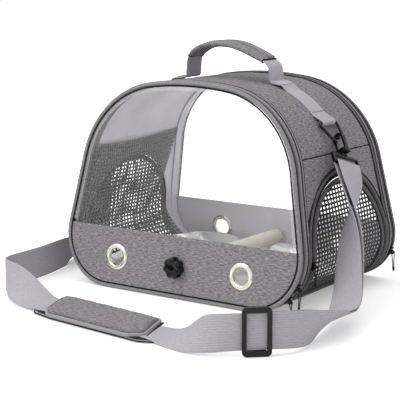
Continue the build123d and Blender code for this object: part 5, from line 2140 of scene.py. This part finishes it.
def raised(spot, rise):
    """The rim's place: flared outward along the sides and lifted, most of all at the rear."""
    part = rise / plain_rim
    beside = clamp((abs(spot.x) - 60 * mm) / (51 * mm)) ** 2
    x = spot.x + (30 * mm * beside * part if spot.x > 0 else -30 * mm * beside * part)
    backward = clamp((spot.y + 60 * mm) / (120 * mm))
    top = max(rim_top(x) * backward + 18 * mm * (1 - backward), (18 + 8 * beside) * mm)
    reach = top + ripple(spot, 60, 1.0 * mm) + ripple(spot, 150, 0.8 * mm, 3.0)
    z = spot.z + (reach - 18.3 * mm) * part
    limit = wall_at(z, fabric_inset + fabric)[0] - 9 * mm
    return Vector((max(-limit, min(limit, x)), spot.y, z))


def tray():
    """Rings of a rounded rectangle from the middle out, then up the rim."""
    half_x, half_y = (tray_high[0] - tray_low[0]) / 2, (tray_high[1] - tray_low[1]) / 2
    power = tray_squareness
    count = 120
    outer, inner, uvs = {}, {}, {}
    shares = [0.001] + [k / 26 for k in range(1, 27)]
    rings = [(share, 0.0) for share in shares] + [(1.0, rise * mm) for rise in rim_steps]
    for i, (share, rise) in enumerate(rings):
        for k in range(count):
            angle = 2 * pi * k / count
            direction = Vector((cos(angle), sin(angle)))
            reach = (abs(direction.x / half_x) ** power + abs(direction.y / half_y) ** power) ** (-1 / power)
            flat = direction * (reach - 0.6 * mm) * share
            spot = Vector((flat.x, flat.y, tray_low[2] + 0.4 * mm + rise))
            crumple = abs(ripple(spot, 38, 3.4 * mm)) + abs(ripple(spot, 90, 1.8 * mm, 4.0))
            if rise == 0:
                spot.z += crumple * min(1, 4 * (1 - share) + 0.2) + fold(spot)
            crease = ripple(Vector((spot.x, spot.y, rise * 3)), 70, 1.6 * mm) if rise else 0.0
            spot = raised(spot, rise) - Vector((*(direction * crease), 0))
            sheet = Vector((0, 0, 0.6 * mm)) if rise == 0 else -Vector((*(direction * 0.6 * mm), 0))
            outer[i, k] = spot + sheet
            inner[i, k] = spot
            uvs[i, k] = (spot.x, spot.y)
    corners = [(i, k, (k + 1) % count) for i in range(len(rings) - 1) for k in range(count)]
    faces = [((i, k), (i + 1, k), (i + 1, n), (i, n)) for i, k, n in corners]
    return slab("foil_tray", outer, inner, uvs, faces, tray_foil, tray_foil)


dress(tray(), "floor_tray", "tray_film", "floor_tray")
for name, material in (
    ("perch", perch_wood),
    ("perch_bolt", bolt_steel),
    ("perch_washer", bolt_steel),
    ("base_board", board_plastic),
):
    for socket in nodes[name].material_slots:
        socket.material = material
print("tray, perch and board finished")

# %% [markdown]
# ## Floor, backdrop and light
# A white floor under even, soft light. The world is white to the camera and to mirrors, and dimmer as a
# lamp, so that the carrier is lit at a plain level. The floor glows a little for the camera alone, more
# so far out, which makes it as white as the world and keeps the soft shadow near the carrier.

# %% Stage and lamps
floor_mesh = bpy.data.meshes.new("floor")
floor_mesh.from_pydata([(-6, -6, 0), (6, -6, 0), (6, 6, 0), (-6, 6, 0)], [], [(0, 1, 2, 3)])
floor = link("floor", floor_mesh)
floor.location.z = -0.0002


def seen_directly(finish_tree):
    """1 for rays from the camera, a mirror or glass, 0 for rays that light other things."""
    rays = finish_tree.nodes.new("ShaderNodeLightPath")
    value = rays.outputs["Is Camera Ray"]
    for label in ("Is Glossy Ray", "Is Transmission Ray"):
        either = finish_tree.nodes.new("ShaderNodeMath")
        either.operation = "MAXIMUM"
        finish_tree.links.new(value, either.inputs[0])
        finish_tree.links.new(rays.outputs[label], either.inputs[1])
        value = either.outputs[0]
    return value


def pale_floor():
    finish = Finish("floor_white", 0.9, Specular_IOR_Level=0.0)
    finish.shader.inputs["Base Color"].default_value = (0.93, 0.93, 0.93, 1)
    finish.shader.inputs["Emission Color"].default_value = (1, 1, 1, 1)
    length = finish.tree.nodes.new("ShaderNodeVectorMath")
    length.operation = "LENGTH"
    finish.tree.links.new(finish.place("Object"), length.inputs[0])
    spread = {"From_Min": 0.3, "From_Max": 0.75, "To_Min": 0.32, "To_Max": 1.0}
    glow = finish.node("ShaderNodeMapRange", Value=length.outputs["Value"], **spread)
    glow = finish.maths("MULTIPLY", glow, seen_directly(finish.tree))
    finish.tree.links.new(glow, finish.shader.inputs["Emission Strength"])
    return finish.material


floor_mesh.materials.append(pale_floor())
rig.stage(floor)

world = bpy.data.worlds.new("studio")
bpy.context.scene.world = world
world.use_nodes = True
tree = world.node_tree
background = tree.nodes["Background"]
background.inputs["Color"].default_value = (1, 1, 1, 1)
ambient = 0.62
level = tree.nodes.new("ShaderNodeMapRange")
level.inputs["To Min"].default_value = ambient
level.inputs["To Max"].default_value = 1.0
tree.links.new(seen_directly(tree), level.inputs["Value"])
tree.links.new(level.outputs[0], background.inputs["Strength"])


def lamp(name, place, size, power):
    light = bpy.data.lights.new(name, "AREA")
    light.size = size
    light.energy = power
    holder = bpy.data.objects.new(name, light)
    holder.location = place
    holder.rotation_euler = (Vector((0, 0, 0.1)) - Vector(place)).to_track_quat("-Z", "Y").to_euler()
    bpy.context.collection.objects.link(holder)


lamp("key", (-0.9, -1.7, 1.9), 1.6, 26)
lamp("top", (0.2, 0.3, 2.2), 2.0, 16)
bpy.context.scene.view_settings.view_transform = "Standard"
print("stage set")

# %% [markdown]
# ## Boxes
# The dressed carrier must stay within the CAD model's box, so both boxes are written down.

# %% Finish
dressed_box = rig.bounds()
with open("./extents.json", "w") as file:
    boxes = {"cad": [list(map(float, corner)) for corner in cad_box]}
    boxes["dressed"] = [list(map(float, corner)) for corner in dressed_box]
    json.dump(boxes, file)
print("dressed box", [[round(value, 3) for value in corner] for corner in dressed_box])
